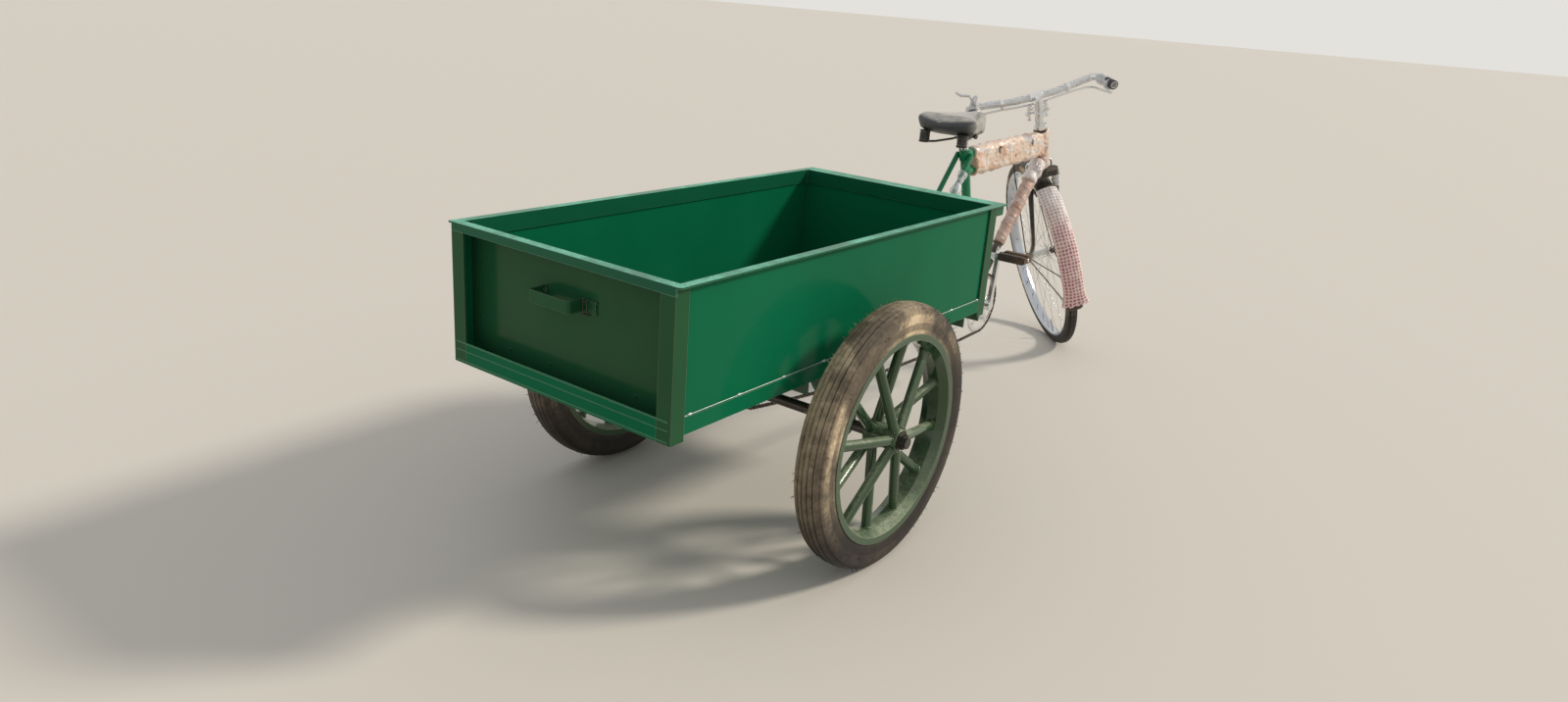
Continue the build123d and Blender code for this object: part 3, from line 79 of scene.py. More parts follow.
view = Vector((sin(YAW) * cos(TILT), -cos(YAW) * cos(TILT), sin(TILT)))
level = view.cross(Z).normalized()
rise = level.cross(view)
right = level * cos(ROLL) + rise * sin(ROLL)
upward = rise * cos(ROLL) - level * sin(ROLL)
camera_data = bpy.data.cameras.new("camera")
camera_data.lens = FOCAL_MM
camera_data.sensor_width = SENSOR_MM
camera_data.clip_end = 200
camera = show("camera", camera_data)
turned = Matrix((right, upward, -view)).transposed().to_4x4()
camera.matrix_world = Matrix.Translation(CAMERA_AT) @ turned
bpy.context.scene.camera = camera
bpy.context.scene.view_settings.view_transform = "Standard"
print("camera looks along", [round(value, 3) for value in view])

# %% [markdown]
# ## Helpers for shaders
# A shader is a small graph. `add` makes one of its boxes and plugs in what it is given, so that a material
# reads from top to bottom like a recipe. The helpers after it make the boxes that nearly every recipe uses,
# and find the graph from the socket that they are given.

# %% Nodes and plugs
def plug(node, plugs):
    """Feeds a node's sockets: what another node puts out is linked, a plain value is set."""
    for key, value in plugs.items():
        if isinstance(value, bpy.types.NodeSocket):
            node.id_data.links.new(value, node.inputs[key])
        else:
            node.inputs[key].default_value = value


def add(tree, kind, plugs=None, **settings):
    node = tree.nodes.new("ShaderNode" + kind)
    for key, value in settings.items():
        setattr(node, key, value)
    plug(node, plugs or {})
    return node


def place(tree, group, plugs):
    """What a shared effect puts out, once it is placed in a material."""
    return add(tree, "Group", plugs, node_tree=group).outputs


def new_material(name):
    """Material with its graph and its main shader."""
    material = bpy.data.materials.new(name)
    material.use_nodes = True
    tree = material.node_tree
    return material, tree, tree.nodes["Principled BSDF"]


def new_group(name, inputs, outputs):
    """Shared effect. Colours are given as tuples, and an output named Colour is one too."""
    group = bpy.data.node_groups.new(name, "ShaderNodeTree")
    kinds = {True: "NodeSocketColor", False: "NodeSocketFloat"}
    for label, value in inputs.items():
        kind = kinds[isinstance(value, tuple)]
        socket = group.interface.new_socket(label, in_out="INPUT", socket_type=kind)
        socket.default_value = value
    for label in outputs:
        group.interface.new_socket(label, in_out="OUTPUT", socket_type=kinds[label == "Colour"])
    return group, group.nodes.new("NodeGroupInput").outputs, group.nodes.new("NodeGroupOutput")


# %% Sums and mixes
def tree_of(values):
    """The graph that the first linked value is in."""
    return next(value.id_data for value in values if isinstance(value, bpy.types.NodeSocket))


def math(operation, *values, clamp=False):
    plugs = dict(enumerate(values))
    return add(tree_of(values), "Math", plugs, operation=operation, use_clamp=clamp).outputs[0]


def times(first, second, clamp=False):
    return math("MULTIPLY", first, second, clamp=clamp)


def plus(first, second, clamp=False):
    return math("ADD", first, second, clamp=clamp)


def minus(first, second, clamp=False):
    return math("SUBTRACT", first, second, clamp=clamp)


def vectors(operation, *values, out="Vector"):
    """Arithmetic on places. A length or a product of two vectors comes out as Value."""
    plugs = dict(enumerate(values))
    return add(tree_of(values), "VectorMath", plugs, operation=operation).outputs[out]


def ramp(value, low, high, to_low=0.0, to_high=1.0):
    """Smooth step from to_low to to_high while the value goes from low to high."""
    plugs = {"Value": value, "From Min": low, "From Max": high, "To Min": to_low, "To Max": to_high}
    return add(value.id_data, "MapRange", plugs, interpolation_type="SMOOTHSTEP").outputs[0]


def mix(share, first, second, blend="MIX"):
    plugs = {0: share, 6: first, 7: second}
    return add(tree_of(plugs.values()), "Mix", plugs, data_type="RGBA", blend_type=blend).outputs[2]


def toned(colour, tone):
    """Colour made lighter or darker by a number."""
    grey = add(tone.id_data, "CombineColor", {0: tone, 1: tone, 2: tone}).outputs[0]
    return mix(1.0, colour, grey, "MULTIPLY")


# %% Places and patterns
def object_place(tree):
    return add(tree, "TexCoord").outputs["Object"]


def parts(vector):
    """The X, Y and Z of a place or a direction."""
    return add(vector.id_data, "SeparateXYZ", {0: vector}).outputs


def flat_normal(tree):
    return add(tree, "NewGeometry").outputs["Normal"]


def stretched(vector, scale, turn=(0, 0, 0)):
    """Place for a pattern that is drawn out or turned."""
    plugs = {"Vector": vector, "Rotation": turn, "Scale": scale}
    return add(vector.id_data, "Mapping", plugs).outputs[0]


def clouds(vector, scale, detail, rough=0.5):
    """Cloudy noise from 0 to 1."""
    plugs = {"Vector": vector, "Scale": scale, "Detail": detail, "Roughness": rough}
    return add(vector.id_data, "TexNoise", plugs).outputs[0]


def bumped(height, distance, strength, normal=None):
    """Normal that follows a height, on top of another normal if one is given."""
    plugs = {"Height": height, "Distance": distance, "Strength": strength}
    if normal is not None:
        plugs["Normal"] = normal
    return add(height.id_data, "Bump", plugs).outputs[0]


# %% [markdown]
# ## Shared effects
# Three things happen to nearly every surface of a work vehicle that stands in a dusty yard. Paint is a
# little thicker here and thinner there, so its tone drifts and its gloss waves. Dust settles on what is low
# and on what faces up. Edges are knocked and show what lies under the paint. Two node groups hold these
# effects, and many materials use them with different values. Some paints use them for painted light: on
# the top rim and the wheels the upturned colour and the bare edge colour are a painted highlight, and on
# the rear panel the dust colour is a painted reflection of the ground.

# %% Group: dust
dust_and_highlight_group, given, result = new_group(
    "yard_dust_and_highlight",
    {"Colour": (0.1, 0.1, 0.1, 1), "Dust And Highlight Colour": (0.50, 0.36, 0.22, 1), "Amount": 0.4, "Reach": 0.45,
     "Roughness": 0.3},
    ("Colour", "Roughness", "Mask"))
here = object_place(dust_and_highlight_group)
low_down = minus(1.0, math("DIVIDE", parts(here)["Z"], given["Reach"]), clamp=True)
upturned = ramp(parts(flat_normal(dust_and_highlight_group))["Z"], 0.2, 1.0, 0.0, 0.4)
# Low and upturned faces take the dust colour. On the top rim and the wheels that colour is a painted
# highlight, and on the rear panel a painted reflection of the ground.
low_and_upturned = plus(times(low_down, 0.75), upturned)
patchy = times(low_and_upturned, ramp(clouds(here, 9.0, 6.0, 0.65), 0.34, 0.66, 0.25, 1.0))
fine = times(patchy, ramp(clouds(here, 160.0, 3.0), 0.3, 0.7, 0.6, 1.1))
mask = times(fine, given["Amount"], clamp=True)
plug(result, {"Colour": mix(mask, given["Colour"], given["Dust And Highlight Colour"]),
              "Roughness": plus(given["Roughness"], times(mask, 0.7), clamp=True),
              "Mask": mask})
print("dust group:", len(dust_and_highlight_group.nodes), "nodes")

# %% Group: brushed-on enamel
enamel_group, given, result = new_group(
    "enamel_coat",
    {"Paint": (0.01, 0.2, 0.1, 1), "Bare And Edge Highlight": (0.42, 0.40, 0.36, 1), "Edge": 0.0, "Wear": 0.5, "Rust": 0.1,
     "Drift": 0.3},
    ("Colour", "Roughness", "Height"))
here = object_place(enamel_group)
coated = toned(given["Paint"], math("MULTIPLY_ADD", clouds(here, 3.1, 4.0), given["Drift"], 0.85))
runs = clouds(stretched(here, (38, 38, 3.5)), 1.0, 3.0)
chips = times(given["Edge"], clouds(here, 85.0, 5.0, 0.7))
# Worn edges show the bare colour. On the top rim and the wheels that colour is light: a painted highlight
# along the edges.
worn = times(ramp(chips, 0.16, 0.30), given["Wear"], clamp=True)
rusty = times(ramp(clouds(here, 24.0, 8.0, 0.75), 0.66, 0.76), given["Rust"], clamp=True)
damage = math("MAXIMUM", worn, rusty)
plug(result, {"Colour": mix(rusty, mix(worn, coated, given["Bare And Edge Highlight"]), (0.16, 0.055, 0.02, 1)),
              "Roughness": times(damage, 0.4),
              "Height": minus(times(runs, 0.6), times(damage, 0.5))})
print("enamel group:", len(enamel_group.nodes), "nodes")

# %% [markdown]
# ## Enamel paints
# The box, the wheels and the underframe are steel brushed with a glossy green enamel. Real steel has no
# knife-sharp edges, so each paint asks for a bevelled normal a little over a millimetre wide: it catches
# light along every edge, and where it differs from the flat normal there is an edge, which is where paint
# chips first.

# %% Paint recipe
def rounded_normal(tree, radius):
    return add(tree, "Bevel", {"Radius": radius}, samples=4).outputs[0]


def enamel(name, paint, dust=0.35, reach=0.6, wear=0.7, rust=0.15, gloss=0.16, coat=0.15, drift=0.35,
           wave=0.0006, bare_and_edge_highlight=(0.42, 0.40, 0.36), dust_colour=(0.46, 0.34, 0.21), specular=0.35,
           shine=(1.0, 1.0, 1.0)):
    material, tree, shader = new_material(name)
    rounded = rounded_normal(tree, 0.0015)
    edge = minus(1.0, vectors("DOT_PRODUCT", rounded, flat_normal(tree), out="Value"), clamp=True)
    coated = place(tree, enamel_group, {"Paint": (*paint, 1), "Bare And Edge Highlight": (*bare_and_edge_highlight, 1), "Edge": times(edge, 6.0),
                                        "Wear": wear, "Rust": rust, "Drift": drift})
    dusty = place(tree, dust_and_highlight_group, {"Colour": coated["Colour"], "Dust And Highlight Colour": (*dust_colour, 1),
                                     "Amount": dust, "Reach": reach,
                                     "Roughness": plus(coated["Roughness"], gloss)})
    plug(shader, {"Base Color": dusty["Colour"], "Roughness": dusty["Roughness"],
                  "Normal": bumped(coated["Height"], wave, 0.5, rounded),
                  "Specular IOR Level": specular, "Specular Tint": (*shine, 1),
                  "Coat Weight": coat, "Coat Roughness": 0.06})
    return material


# %% Paints
BOX_GREEN = (0.003, 0.122, 0.052)
SAND_SHINE = (0.85, 0.68, 0.40)         # glossy panels mirror the sandy yard
box_paint = enamel("box_enamel", BOX_GREEN, dust=0.015, reach=0.9, wear=0.55, rust=0.04, drift=0.45,
                   coat=0.01, specular=0.05, gloss=0.12, shine=SAND_SHINE)
# The rear paint is the box green made darker and more olive, with a dark olive dust colour low down and on
# upturned faces: a painted reflection of the sandy ground on the shaded rear of the box.
rear_paint_with_painted_reflection = enamel("rear_panel_enamel", (0.012, 0.075, 0.030), dust=0.10, reach=1.2, wear=0.55, rust=0.04,
                    drift=0.5, coat=0.02, specular=0.14, dust_colour=(0.16, 0.15, 0.06), shine=SAND_SHINE)
# The rim's dust colour is a pale mint that the low reach keeps to its upturned faces, and its bare edge
# colour is mint too: both are a painted highlight of the sky's reflection on the rim's top and edges.
rim_paint_with_painted_highlight = enamel("rim_enamel", (0.007, 0.098, 0.044), dust=2.6, reach=0.3, wear=0.9, rust=0.04, coat=0.03,
                   specular=0.16, bare_and_edge_highlight=(0.30, 0.62, 0.46), dust_colour=(0.22, 0.56, 0.40))
# A lighter green than the box: a painted highlight along the hem lines of the rear rail.
hem_highlight_paint = enamel("hem_highlight_enamel", (0.030, 0.165, 0.075), dust=0.05, rust=0.04, coat=0.05, specular=0.3)
frame_paint = enamel("frame_enamel", (0.006, 0.20, 0.085), dust=0.2, wear=0.5)
# The light olive dust, kept by the low reach to the upturned faces of spokes and rims, and the light olive
# bare colour at the edges are a painted highlight; the rust is real.
wheel_paint_with_painted_highlight = enamel("wheel_enamel", (0.024, 0.062, 0.026), dust=2.2, reach=0.05, wear=1.0, rust=0.35,
                     gloss=0.12, bare_and_edge_highlight=(0.36, 0.42, 0.25), coat=0.35, specular=0.5, shine=(0.95, 0.95, 0.75),
                     dust_colour=(0.42, 0.46, 0.30))
under_paint = enamel("underframe_enamel", (0.005, 0.08, 0.04), dust=0.45, reach=0.8, wear=0.5, rust=0.3,
                     gloss=0.35)
black_paint = enamel("black_enamel", (0.012, 0.011, 0.010), dust=0.35, reach=1.0, wear=0.6, rust=0.3,
                     gloss=0.25)
cast_black = enamel("bearing_black", (0.02, 0.019, 0.018), dust=0.4, wear=0.4, rust=0.35, gloss=0.45,
                    coat=0.1, wave=0.002)
print("paints mixed:", len(bpy.data.materials))

# %% [markdown]
# ## Metals
# Chromed bars are bright with faint cloudy streaks and a few rust freckles. The axle and its nuts are oiled
# steel with brown rust. The chain is steel darkened with oil and dust. Rust and dust are no metal, so they
# take the metallic share away wherever they lie.

# %% Metal recipe
def metal(name, colour, roughness, rust=0.2, rust_scale=40.0, dust=0.2, bump=0.0002, metallic=1.0):
    material, tree, shader = new_material(name)
    here = object_place(tree)
    streak = clouds(here, 200.0, 4.0)
    spots = clouds(here, rust_scale, 8.0, 0.7)
    rusty = times(ramp(spots, 0.60, 0.72), rust, clamp=True)
    streaked = ramp(streak, 0.3, 0.7, roughness * 0.7, roughness * 1.4)
    dusty = place(tree, dust_and_highlight_group, {"Colour": mix(rusty, (*colour, 1), (0.17, 0.07, 0.03, 1)),
                                     "Amount": dust, "Reach": 1.2,
                                     "Roughness": plus(streaked, times(rusty, 0.5))})
    clean = minus(metallic, math("MAXIMUM", rusty, dusty["Mask"]), clamp=True)
    plug(shader, {"Base Color": dusty["Colour"], "Roughness": dusty["Roughness"], "Metallic": clean,
                  "Normal": bumped(plus(streak, spots), bump, 0.4, rounded_normal(tree, 0.0008))})
    return material


# %% Metals
rim_chrome = metal("rim_chrome", (0.52, 0.57, 0.64), 0.12, rust=0.25, rust_scale=60, dust=0.10)
chrome = metal("chromed_steel", (0.78, 0.79, 0.80), 0.10, rust=0.25, rust_scale=60, dust=0.10)
spoke_steel = metal("spoke_steel", (0.66, 0.66, 0.65), 0.22, rust=0.15, dust=0.15)
dark_steel = metal("oiled_steel", (0.080, 0.075, 0.070), 0.38, rust=0.5, rust_scale=30, dust=0.12)
chain_steel = metal("chain_steel", (0.060, 0.052, 0.046), 0.40, rust=0.35, rust_scale=90, dust=0.18)
# Light weld metal. On the seam hairline along the rails this colour is a painted highlight of the rail's
# edge.
tack_metal_and_seam_highlight = metal("ground_weld_and_seam_highlight", (0.62, 0.66, 0.62), 0.45, rust=0.1, dust=0.1, metallic=0.55, bump=0.0006)
print("paints and metals:", len(bpy.data.materials))

# %% [markdown]
# ## Rubber
# Grips and pedals are dark rubber with dust smeared over it. A new tyre that has stood in the yard is
# black-brown under tan dust: the tread ribs and the sidewall take the dust, the grooves and the knurled
# band stay dark. The distance from the wheel's axle tells the shader which is which, and the dust is
# thicker on one side of the wheel than on the other.

# %% Rubber recipes
def gritty(name, bump):
    """Material with a rough skin, its main shader, the place on it and its grit."""
    material, tree, shader = new_material(name)
    here = object_place(tree)
    grit = clouds(here, 70.0, 6.0, 0.7)
    plug(shader, {"Normal": bumped(grit, bump, 0.6)})
    return material, shader, here, grit


def rubber(name, colour, dust_colour, dust, bump):
    material, shader, here, grit = gritty(name, bump)
    smear = times(ramp(clouds(here, 7.0, 5.0, 0.6), 0.33, 0.62), ramp(grit, 0.30, 0.65, 0.45, 1.0))
    share = times(smear, dust, clamp=True)
    plug(shader, {"Base Color": mix(share, (*colour, 1), (*dust_colour, 1)),
                  "Roughness": ramp(share, 0.0, 1.0, 0.55, 0.95)})
    return material


def tyre_rubber(name, centre, axle, tread, wall, rib, shoulder, dusty_way, dusty_from=-0.15):
    """Rubber whose dust lies on the ribs and the sidewall of a tyre with that radius over its tread."""
    material, shader, here, _ = gritty(name, 0.0006)
    away = vectors("SUBTRACT", here, centre)
    sideways = vectors("DOT_PRODUCT", away, axle, out="Value")
    total = vectors("LENGTH", away, out="Value")
    squared = times(sideways, sideways)
    radius = math("SQRT", minus(times(total, total), squared))
    on_rib = ramp(plus(radius, times(squared, 8.0)), tread - 0.0035, tread - 0.0005)
    on_wall = ramp(radius, tread - shoulder, tread - shoulder - 0.008)
    in_band = times(ramp(radius, tread - 0.057, tread - 0.054), ramp(radius, tread - 0.038, tread - 0.041))
    dusty_side = math("DIVIDE", vectors("DOT_PRODUCT", away, dusty_way, out="Value"), total)
    rubbed = ramp(dusty_side, dusty_from, dusty_from + 1.0, 0.03, 1.0)
    blotch = clouds(here, 5.0, 5.0, 0.65)
    bare_wall = times(on_wall, minus(1.0, in_band))
    wall_dust = times(bare_wall, times(ramp(blotch, 0.40, 0.66, 0.04, wall), rubbed))
    rib_dust = times(on_rib, times(ramp(blotch, 0.38, 0.62, 0.2, rib), rubbed))
    speckle = ramp(clouds(here, 90.0, 5.0, 0.7), 0.28, 0.62, 0.55, 1.05)
    dusted = times(plus(wall_dust, rib_dust), speckle, clamp=True)
    plug(shader, {"Base Color": mix(dusted, (0.022, 0.019, 0.018, 1), (0.70, 0.54, 0.35, 1)),
                  "Roughness": ramp(dusted, 0.0, 1.0, 0.5, 0.95), "Specular IOR Level": 0.2})
    return material


# %% Wheel places and rubbers
WHEEL_X, AXLE_Y, AXLE_Z = 0.4105, 0.7832, 0.305
REAR_R, FRONT_R = 305.0, 355.6
joints = {joint["name"]: joint for joint in frame["joints"]}
FRONT_HUB = Vector(joints["front_wheel_spin"]["pos_m"])
FRONT_AXLE = Vector(joints["front_wheel_spin"]["axis"]).normalized()
HEAD_UP = Vector(joints["steering_turn"]["axis"]).normalized()
FORWARD = FRONT_AXLE.cross(HEAD_UP).normalized()
rear_tyre_rubber = tyre_rubber("rear_tyre_rubber", (0.0, AXLE_Y, AXLE_Z), X, REAR_R * MM, wall=1.3, rib=0.9,
                               shoulder=0.016, dusty_way=(0.0, 0.55, 0.83))
front_rubber = tyre_rubber("front_tyre_rubber", FRONT_HUB, FRONT_AXLE, FRONT_R * MM, wall=1.5, rib=0.9,
                           shoulder=0.005, dusty_way=FORWARD * 0.6 + HEAD_UP * 0.8, dusty_from=-0.9)
grip_rubber = rubber("grip_rubber", (0.012, 0.012, 0.016), (0.30, 0.24, 0.18), 0.18, bump=0.0002)
pedal_rubber = rubber("pedal_rubber", (0.020, 0.017, 0.015), (0.36, 0.20, 0.10), 0.35, bump=0.0004)
print("front hub", tuple(FRONT_HUB), "forward", tuple(FORWARD))

# %% [markdown]
# ## Giving the solids their finishes
# Each solid keeps its mesh and only changes the material in its slot. The table pairs a finish with the
# solids that wear it on the real machine. Solids that a finer piece stands for are left out of it.

# %% Finishes for the solids
finishes = (
    # The top rim and the wheels take paints with a painted highlight, and the posts, rear panel and handle
    # take the rear paint with its painted reflection of the ground.
    (rim_paint_with_painted_highlight, "top_rim"),
    (box_paint, "left_panel right_panel front_panel floor_panel bottom_rails"),
    (rear_paint_with_painted_reflection, "corner_posts rear_panel rear_handle"),
    (under_paint, "chassis_beams cross_members axle_hangers"),
    (frame_paint, "bottom_bracket seat_tube top_tubes seat_stays"),
    (wheel_paint_with_painted_highlight, "left_rim right_rim left_wheel right_wheel"),
    (black_paint, "head_tube down_tube chain_stays fork front_mudguard"),
    (cast_black, "axle_bearings"),
    (dark_steel, "rear_axle axle_nuts front_axle"),
    (chain_steel, "rear_sprocket"),
    (chrome, "chainring cranks seat_post head_nuts stem handlebar brake_levers brake_rods"),
    (rim_chrome, "front_rim"),
    (spoke_steel, "front_spokes"),
    (grip_rubber, "grips brake_pads"),
    (pedal_rubber, "left_pedal right_pedal"),
)
for finish, names in finishes:
    for name in names.split():
        slots = nodes[name].data.materials
        slots.clear()
        slots.append(finish)
print("finished solids:", sum(len(names.split()) for _, names in finishes))

# %% [markdown]
# ## Helpers for pieces
# Every new piece is modelled as a bmesh, then handed to `piece`, which makes its object, gives it its
# material, smooths its gentle edges, hangs it on the body that carries it and hides the solids it stands for.

# %% Piece helpers
def piece(name, bm, body, material, stands_for=(), smooth=35):
    bmesh.ops.recalc_face_normals(bm, faces=bm.faces)
    mesh = bpy.data.meshes.new(name)
    bm.to_mesh(mesh)
    bm.free()
    mesh.materials.append(material)
    mesh.polygons.foreach_set("use_smooth", [True] * len(mesh.polygons))
    mesh.set_sharp_from_angle(angle=radians(smooth))
    made = show(name, mesh)
    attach(made, body)
    if stands_for:
        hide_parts(*stands_for)
    return made


def chain_of(bm, points, closed=False):
    verts = [bm.verts.new(point) for point in points]
    edges = [bm.edges.new(pair) for pair in zip(verts, verts[1:])]
    if closed:
        edges.append(bm.edges.new((verts[-1], verts[0])))
    return verts, edges


def only(kind, made):
    """The verts or the edges of what an operator made."""
    return [item for item in made if isinstance(item, kind)]


def lathe(bm, outline, origin, axle, radial, steps, turn=2 * pi, closed=True):
    """Turns an outline of (along the axle, radius) pairs, in millimetres, about an axle."""
    points = [origin + axle * (side * MM) + radial * (radius * MM) for side, radius in outline]
    verts, edges = chain_of(bm, points, closed)
    full = turn == 2 * pi
    bmesh.ops.spin(bm, geom=verts + edges, cent=origin, axis=axle, angle=turn, steps=steps, use_merge=full)
    if full:
        bmesh.ops.remove_doubles(bm, verts=bm.verts, dist=1e-6)


def tube(bm, start, end, radius, sides=12, taper=1.0):
    """Round bar between two places in metres."""
    start, end = Vector(start), Vector(end)
    run = end - start
    matrix = Matrix.Translation((start + end) / 2) @ run.to_track_quat("Z", "Y").to_matrix().to_4x4()
    bmesh.ops.create_cone(bm, cap_ends=True, segments=sides, radius1=radius, radius2=radius * taper,
                          depth=run.length, matrix=matrix)


def ring(bm, centre, axis, radius, thickness, steps=24, sides=6):
    """Bead of weld that runs round a tube."""
    out = axis.orthogonal().normalized()
    turns = [2 * pi * step / sides for step in range(sides)]
    points = [centre + out * (radius + thickness * cos(angle)) + axis * thickness * sin(angle)
              for angle in turns]
    verts, edges = chain_of(bm, points, closed=True)
    bmesh.ops.spin(bm, geom=verts + edges, cent=centre, axis=axis, angle=2 * pi, steps=steps, use_merge=True)


# %% [markdown]
# ## Rear tyres
# The cart tyre has a ribbed tread: five ribs with four grooves between them, a step at the shoulder, a
# plain sidewall and a knurled band near the rim. The outline is drawn once, as distances from the tyre's
# middle plane and radii, and turned about the axle. The knurls are made by lifting every other column of
# the band, and the thin hairs left by the mould's vents stand on the tread and the sidewalls.

# %% Rear tyre outline
GROOVES = (-18.5, -6.2, 6.2, 18.5)          # middles of the grooves
GROOVE_HALF, GROOVE_DEEP = 1.7, 3.6
GROOVE_FLOOR = 0.6                          # half width of its floor, as a share of the half width at its top
CROWN = 0.0085                              # how fast the tread falls away from its middle
SHOULDER = 28.5
KNURL = (250.0, 264.0)                      # radii of the knurled band
# Sidewall down to the bead, as (from the middle plane, radius)
WALL = ((29.2, 293.5), (33.4, 292.0), (35.4, 283.0), (35.9, 272.0), (35.2, 265.0), (34.4, KNURL[1]),
        (34.0, 257.0), (33.4, KNURL[0]), (33.8, 248.0), (33.4, 242.0), (32.9, 236.0), (32.4, 229.4))
BEAD_FOOT = (14.0, 229.2)


def crown(side):
    return REAR_R - CROWN * side * side


half_tread = [(SHOULDER, crown(SHOULDER))]
for middle in reversed(GROOVES):
    foot = crown(middle) - GROOVE_DEEP
    half_tread += [(middle + GROOVE_HALF, crown(middle)), (middle + GROOVE_FLOOR * GROOVE_HALF, foot),
                   (middle - GROOVE_FLOOR * GROOVE_HALF, foot), (middle - GROOVE_HALF, crown(middle))]
tread = half_tread + [(-SHOULDER, crown(SHOULDER))]
inner = [BEAD_FOOT, (-BEAD_FOOT[0], BEAD_FOOT[1])]
rear_outline = tread[::-1] + list(WALL) + inner + [(-side, radius) for side, radius in reversed(WALL)]
print("rear tyre outline:", len(rear_outline), "points")

# %% Rear tyres
REAR_WHEELS = ((1, "left", "free_roller"), (-1, "right", "driven_roller"))
STEPS = 220
KNURL_RISE, KNURL_FROM = 0.0016, 0.033      # lift, and the distance from the middle plane that it starts at
HAIRS = 220
# Feet of the hairs, as (from the middle plane, radius): the shoulder has twice as many
HAIR_FEET = ((SHOULDER, 299), (SHOULDER, 299), (34, 290), (36, 272), (12.4, 304))
GROUND_SIDE = -0.93                         # hairs near the ground are worn off


def hub_of(side):
    return Vector((side * WHEEL_X, AXLE_Y, AXLE_Z))


def knurl(bm, centre):
    for vert in bm.verts:
        away = vert.co - centre
        radius = hypot(away.y, away.z) / MM
        if KNURL[0] - 0.5 < radius < KNURL[1] + 0.5 and abs(away.x) > KNURL_FROM:
            column = round(atan2(away.y, away.z) / (2 * pi) * STEPS)
            if column % 2 == 0:
                vert.co.x += KNURL_RISE * (1 if away.x > 0 else -1)


def vent_hairs(bm, centre):
    for _ in range(HAIRS):
        angle = chance.uniform(0, 2 * pi)
        if cos(angle) < GROUND_SIDE:
            continue
        out = Vector((0, sin(angle), cos(angle)))
        edge = chance.choice((-1, 1))
        where, reach = chance.choice(HAIR_FEET)
        root = centre + Vector((edge * where * MM, 0, 0)) + out * (reach - 1.5) * MM
        lean = Vector((edge * chance.uniform(0.1, 0.8), chance.uniform(-0.4, 0.4), chance.uniform(-0.4, 0.4)))
        way = (out * chance.uniform(0.5, 1.3) + lean).normalized()
        tube(bm, root, root + way * chance.uniform(5, 11) * MM, 0.0009, 3, 0.5)


for side, name, body in REAR_WHEELS:
    bm = bmesh.new()
    lathe(bm, rear_outline, hub_of(side), X, Z, STEPS)
    knurl(bm, hub_of(side))
    vent_hairs(bm, hub_of(side))
    made = piece(f"{name}_cart_tyre", bm, body, rear_tyre_rubber, (f"{name}_tyre",), smooth=28)
    print(made.name, len(made.data.polygons), "faces")

# %% [markdown]
# ## Welds and valves of the rear wheels
# A rear wheel is welded from tubes: each of its twelve spokes has a bead at the hub and one at the rim. A
# bead is a small ring that follows the tube, and a little noise takes away its evenness. A tyre valve
# stands in the rim's well.

# %% Wheel welds
SPOKES, FIRST_SPOKE = 12, 10                # how many, and the first one's degrees forward of upright
SPOKE_R = 11.5
SPOKE_FOOT, SPOKE_TIP = 15.5, 219           # radii between which a spoke runs
FLANGE_X = 28                               # spokes start in turn on either side of the middle plane
HUB_END_X, HUB_BEAD_R, HUB_BEAD = 40.5, 25.0, 0.0020
UNEVEN, UNEVEN_SCALE = 0.0007, 240


def on_rear_wheel(degrees, radius):
    """From a rear hub outwards, at an angle forward of upright."""
    angle = radians(degrees)
    return Vector((0, -sin(angle), cos(angle))) * radius * MM


def weld_beads(side):
    bm = bmesh.new()
    for count in range(SPOKES):
        degrees = FIRST_SPOKE + 360 / SPOKES * count
        flange = side * FLANGE_X * (1 if count % 2 else -1)
        foot = hub_of(side) + X * flange * MM + on_rear_wheel(degrees, SPOKE_FOOT)
        run = hub_of(side) + on_rear_wheel(degrees, SPOKE_TIP) - foot
        for reach, size in ((0.0120, 0.0017), (run.length - 0.0042, 0.0019)):
            ring(bm, foot + run.normalized() * reach, run.normalized(), (SPOKE_R + 0.6) * MM, size)
    for end in (-1, 1):
        ring(bm, hub_of(side) + X * end * HUB_END_X * MM, X, HUB_BEAD_R * MM, HUB_BEAD, 28)
    for vert in bm.verts:
        vert.co += noise.noise_vector(vert.co * UNEVEN_SCALE) * UNEVEN
    return bm


# %% Rear valves
VALVE_AT, VALVE_FOOT = -28, 216             # degrees forward of upright, and radius at the rim's well
VALVE_PARTS = (                             # from and to, inwards from the foot, radius, sides, taper
    (-2, 6, 7.5, 6, 1.0),
    (4, 30, 3.8, 12, 1.0),
    (28, 38, 4.5, 12, 0.9),
)


def valve(side):
    bm = bmesh.new()
    for start, end, radius, sides, taper in VALVE_PARTS:
        ends = [hub_of(side) + on_rear_wheel(VALVE_AT, VALVE_FOOT - inwards) for inwards in (start, end)]
        tube(bm, *ends, radius * MM, sides, taper)
    return bm


for side, name, body in REAR_WHEELS:
    made = piece(f"{name}_wheel_welds", weld_beads(side), body, wheel_paint_with_painted_highlight, smooth=60)
    piece(f"{name}_valve", valve(side), body, dark_steel)
    print(made.name, len(made.data.polygons), "faces")

# %% [markdown]
# ## Chain
# A roller chain is the same two links over and over: a pair of inner plates on rollers, then a pair of
# outer plates on pins. The path is the one the solid chain takes: straight along the top, round the
# sprocket, back along the slack lower run and round the chainring. Walking along it in steps of one pitch
# gives each link its place. There are hundreds of plates, so each has only a few faces.

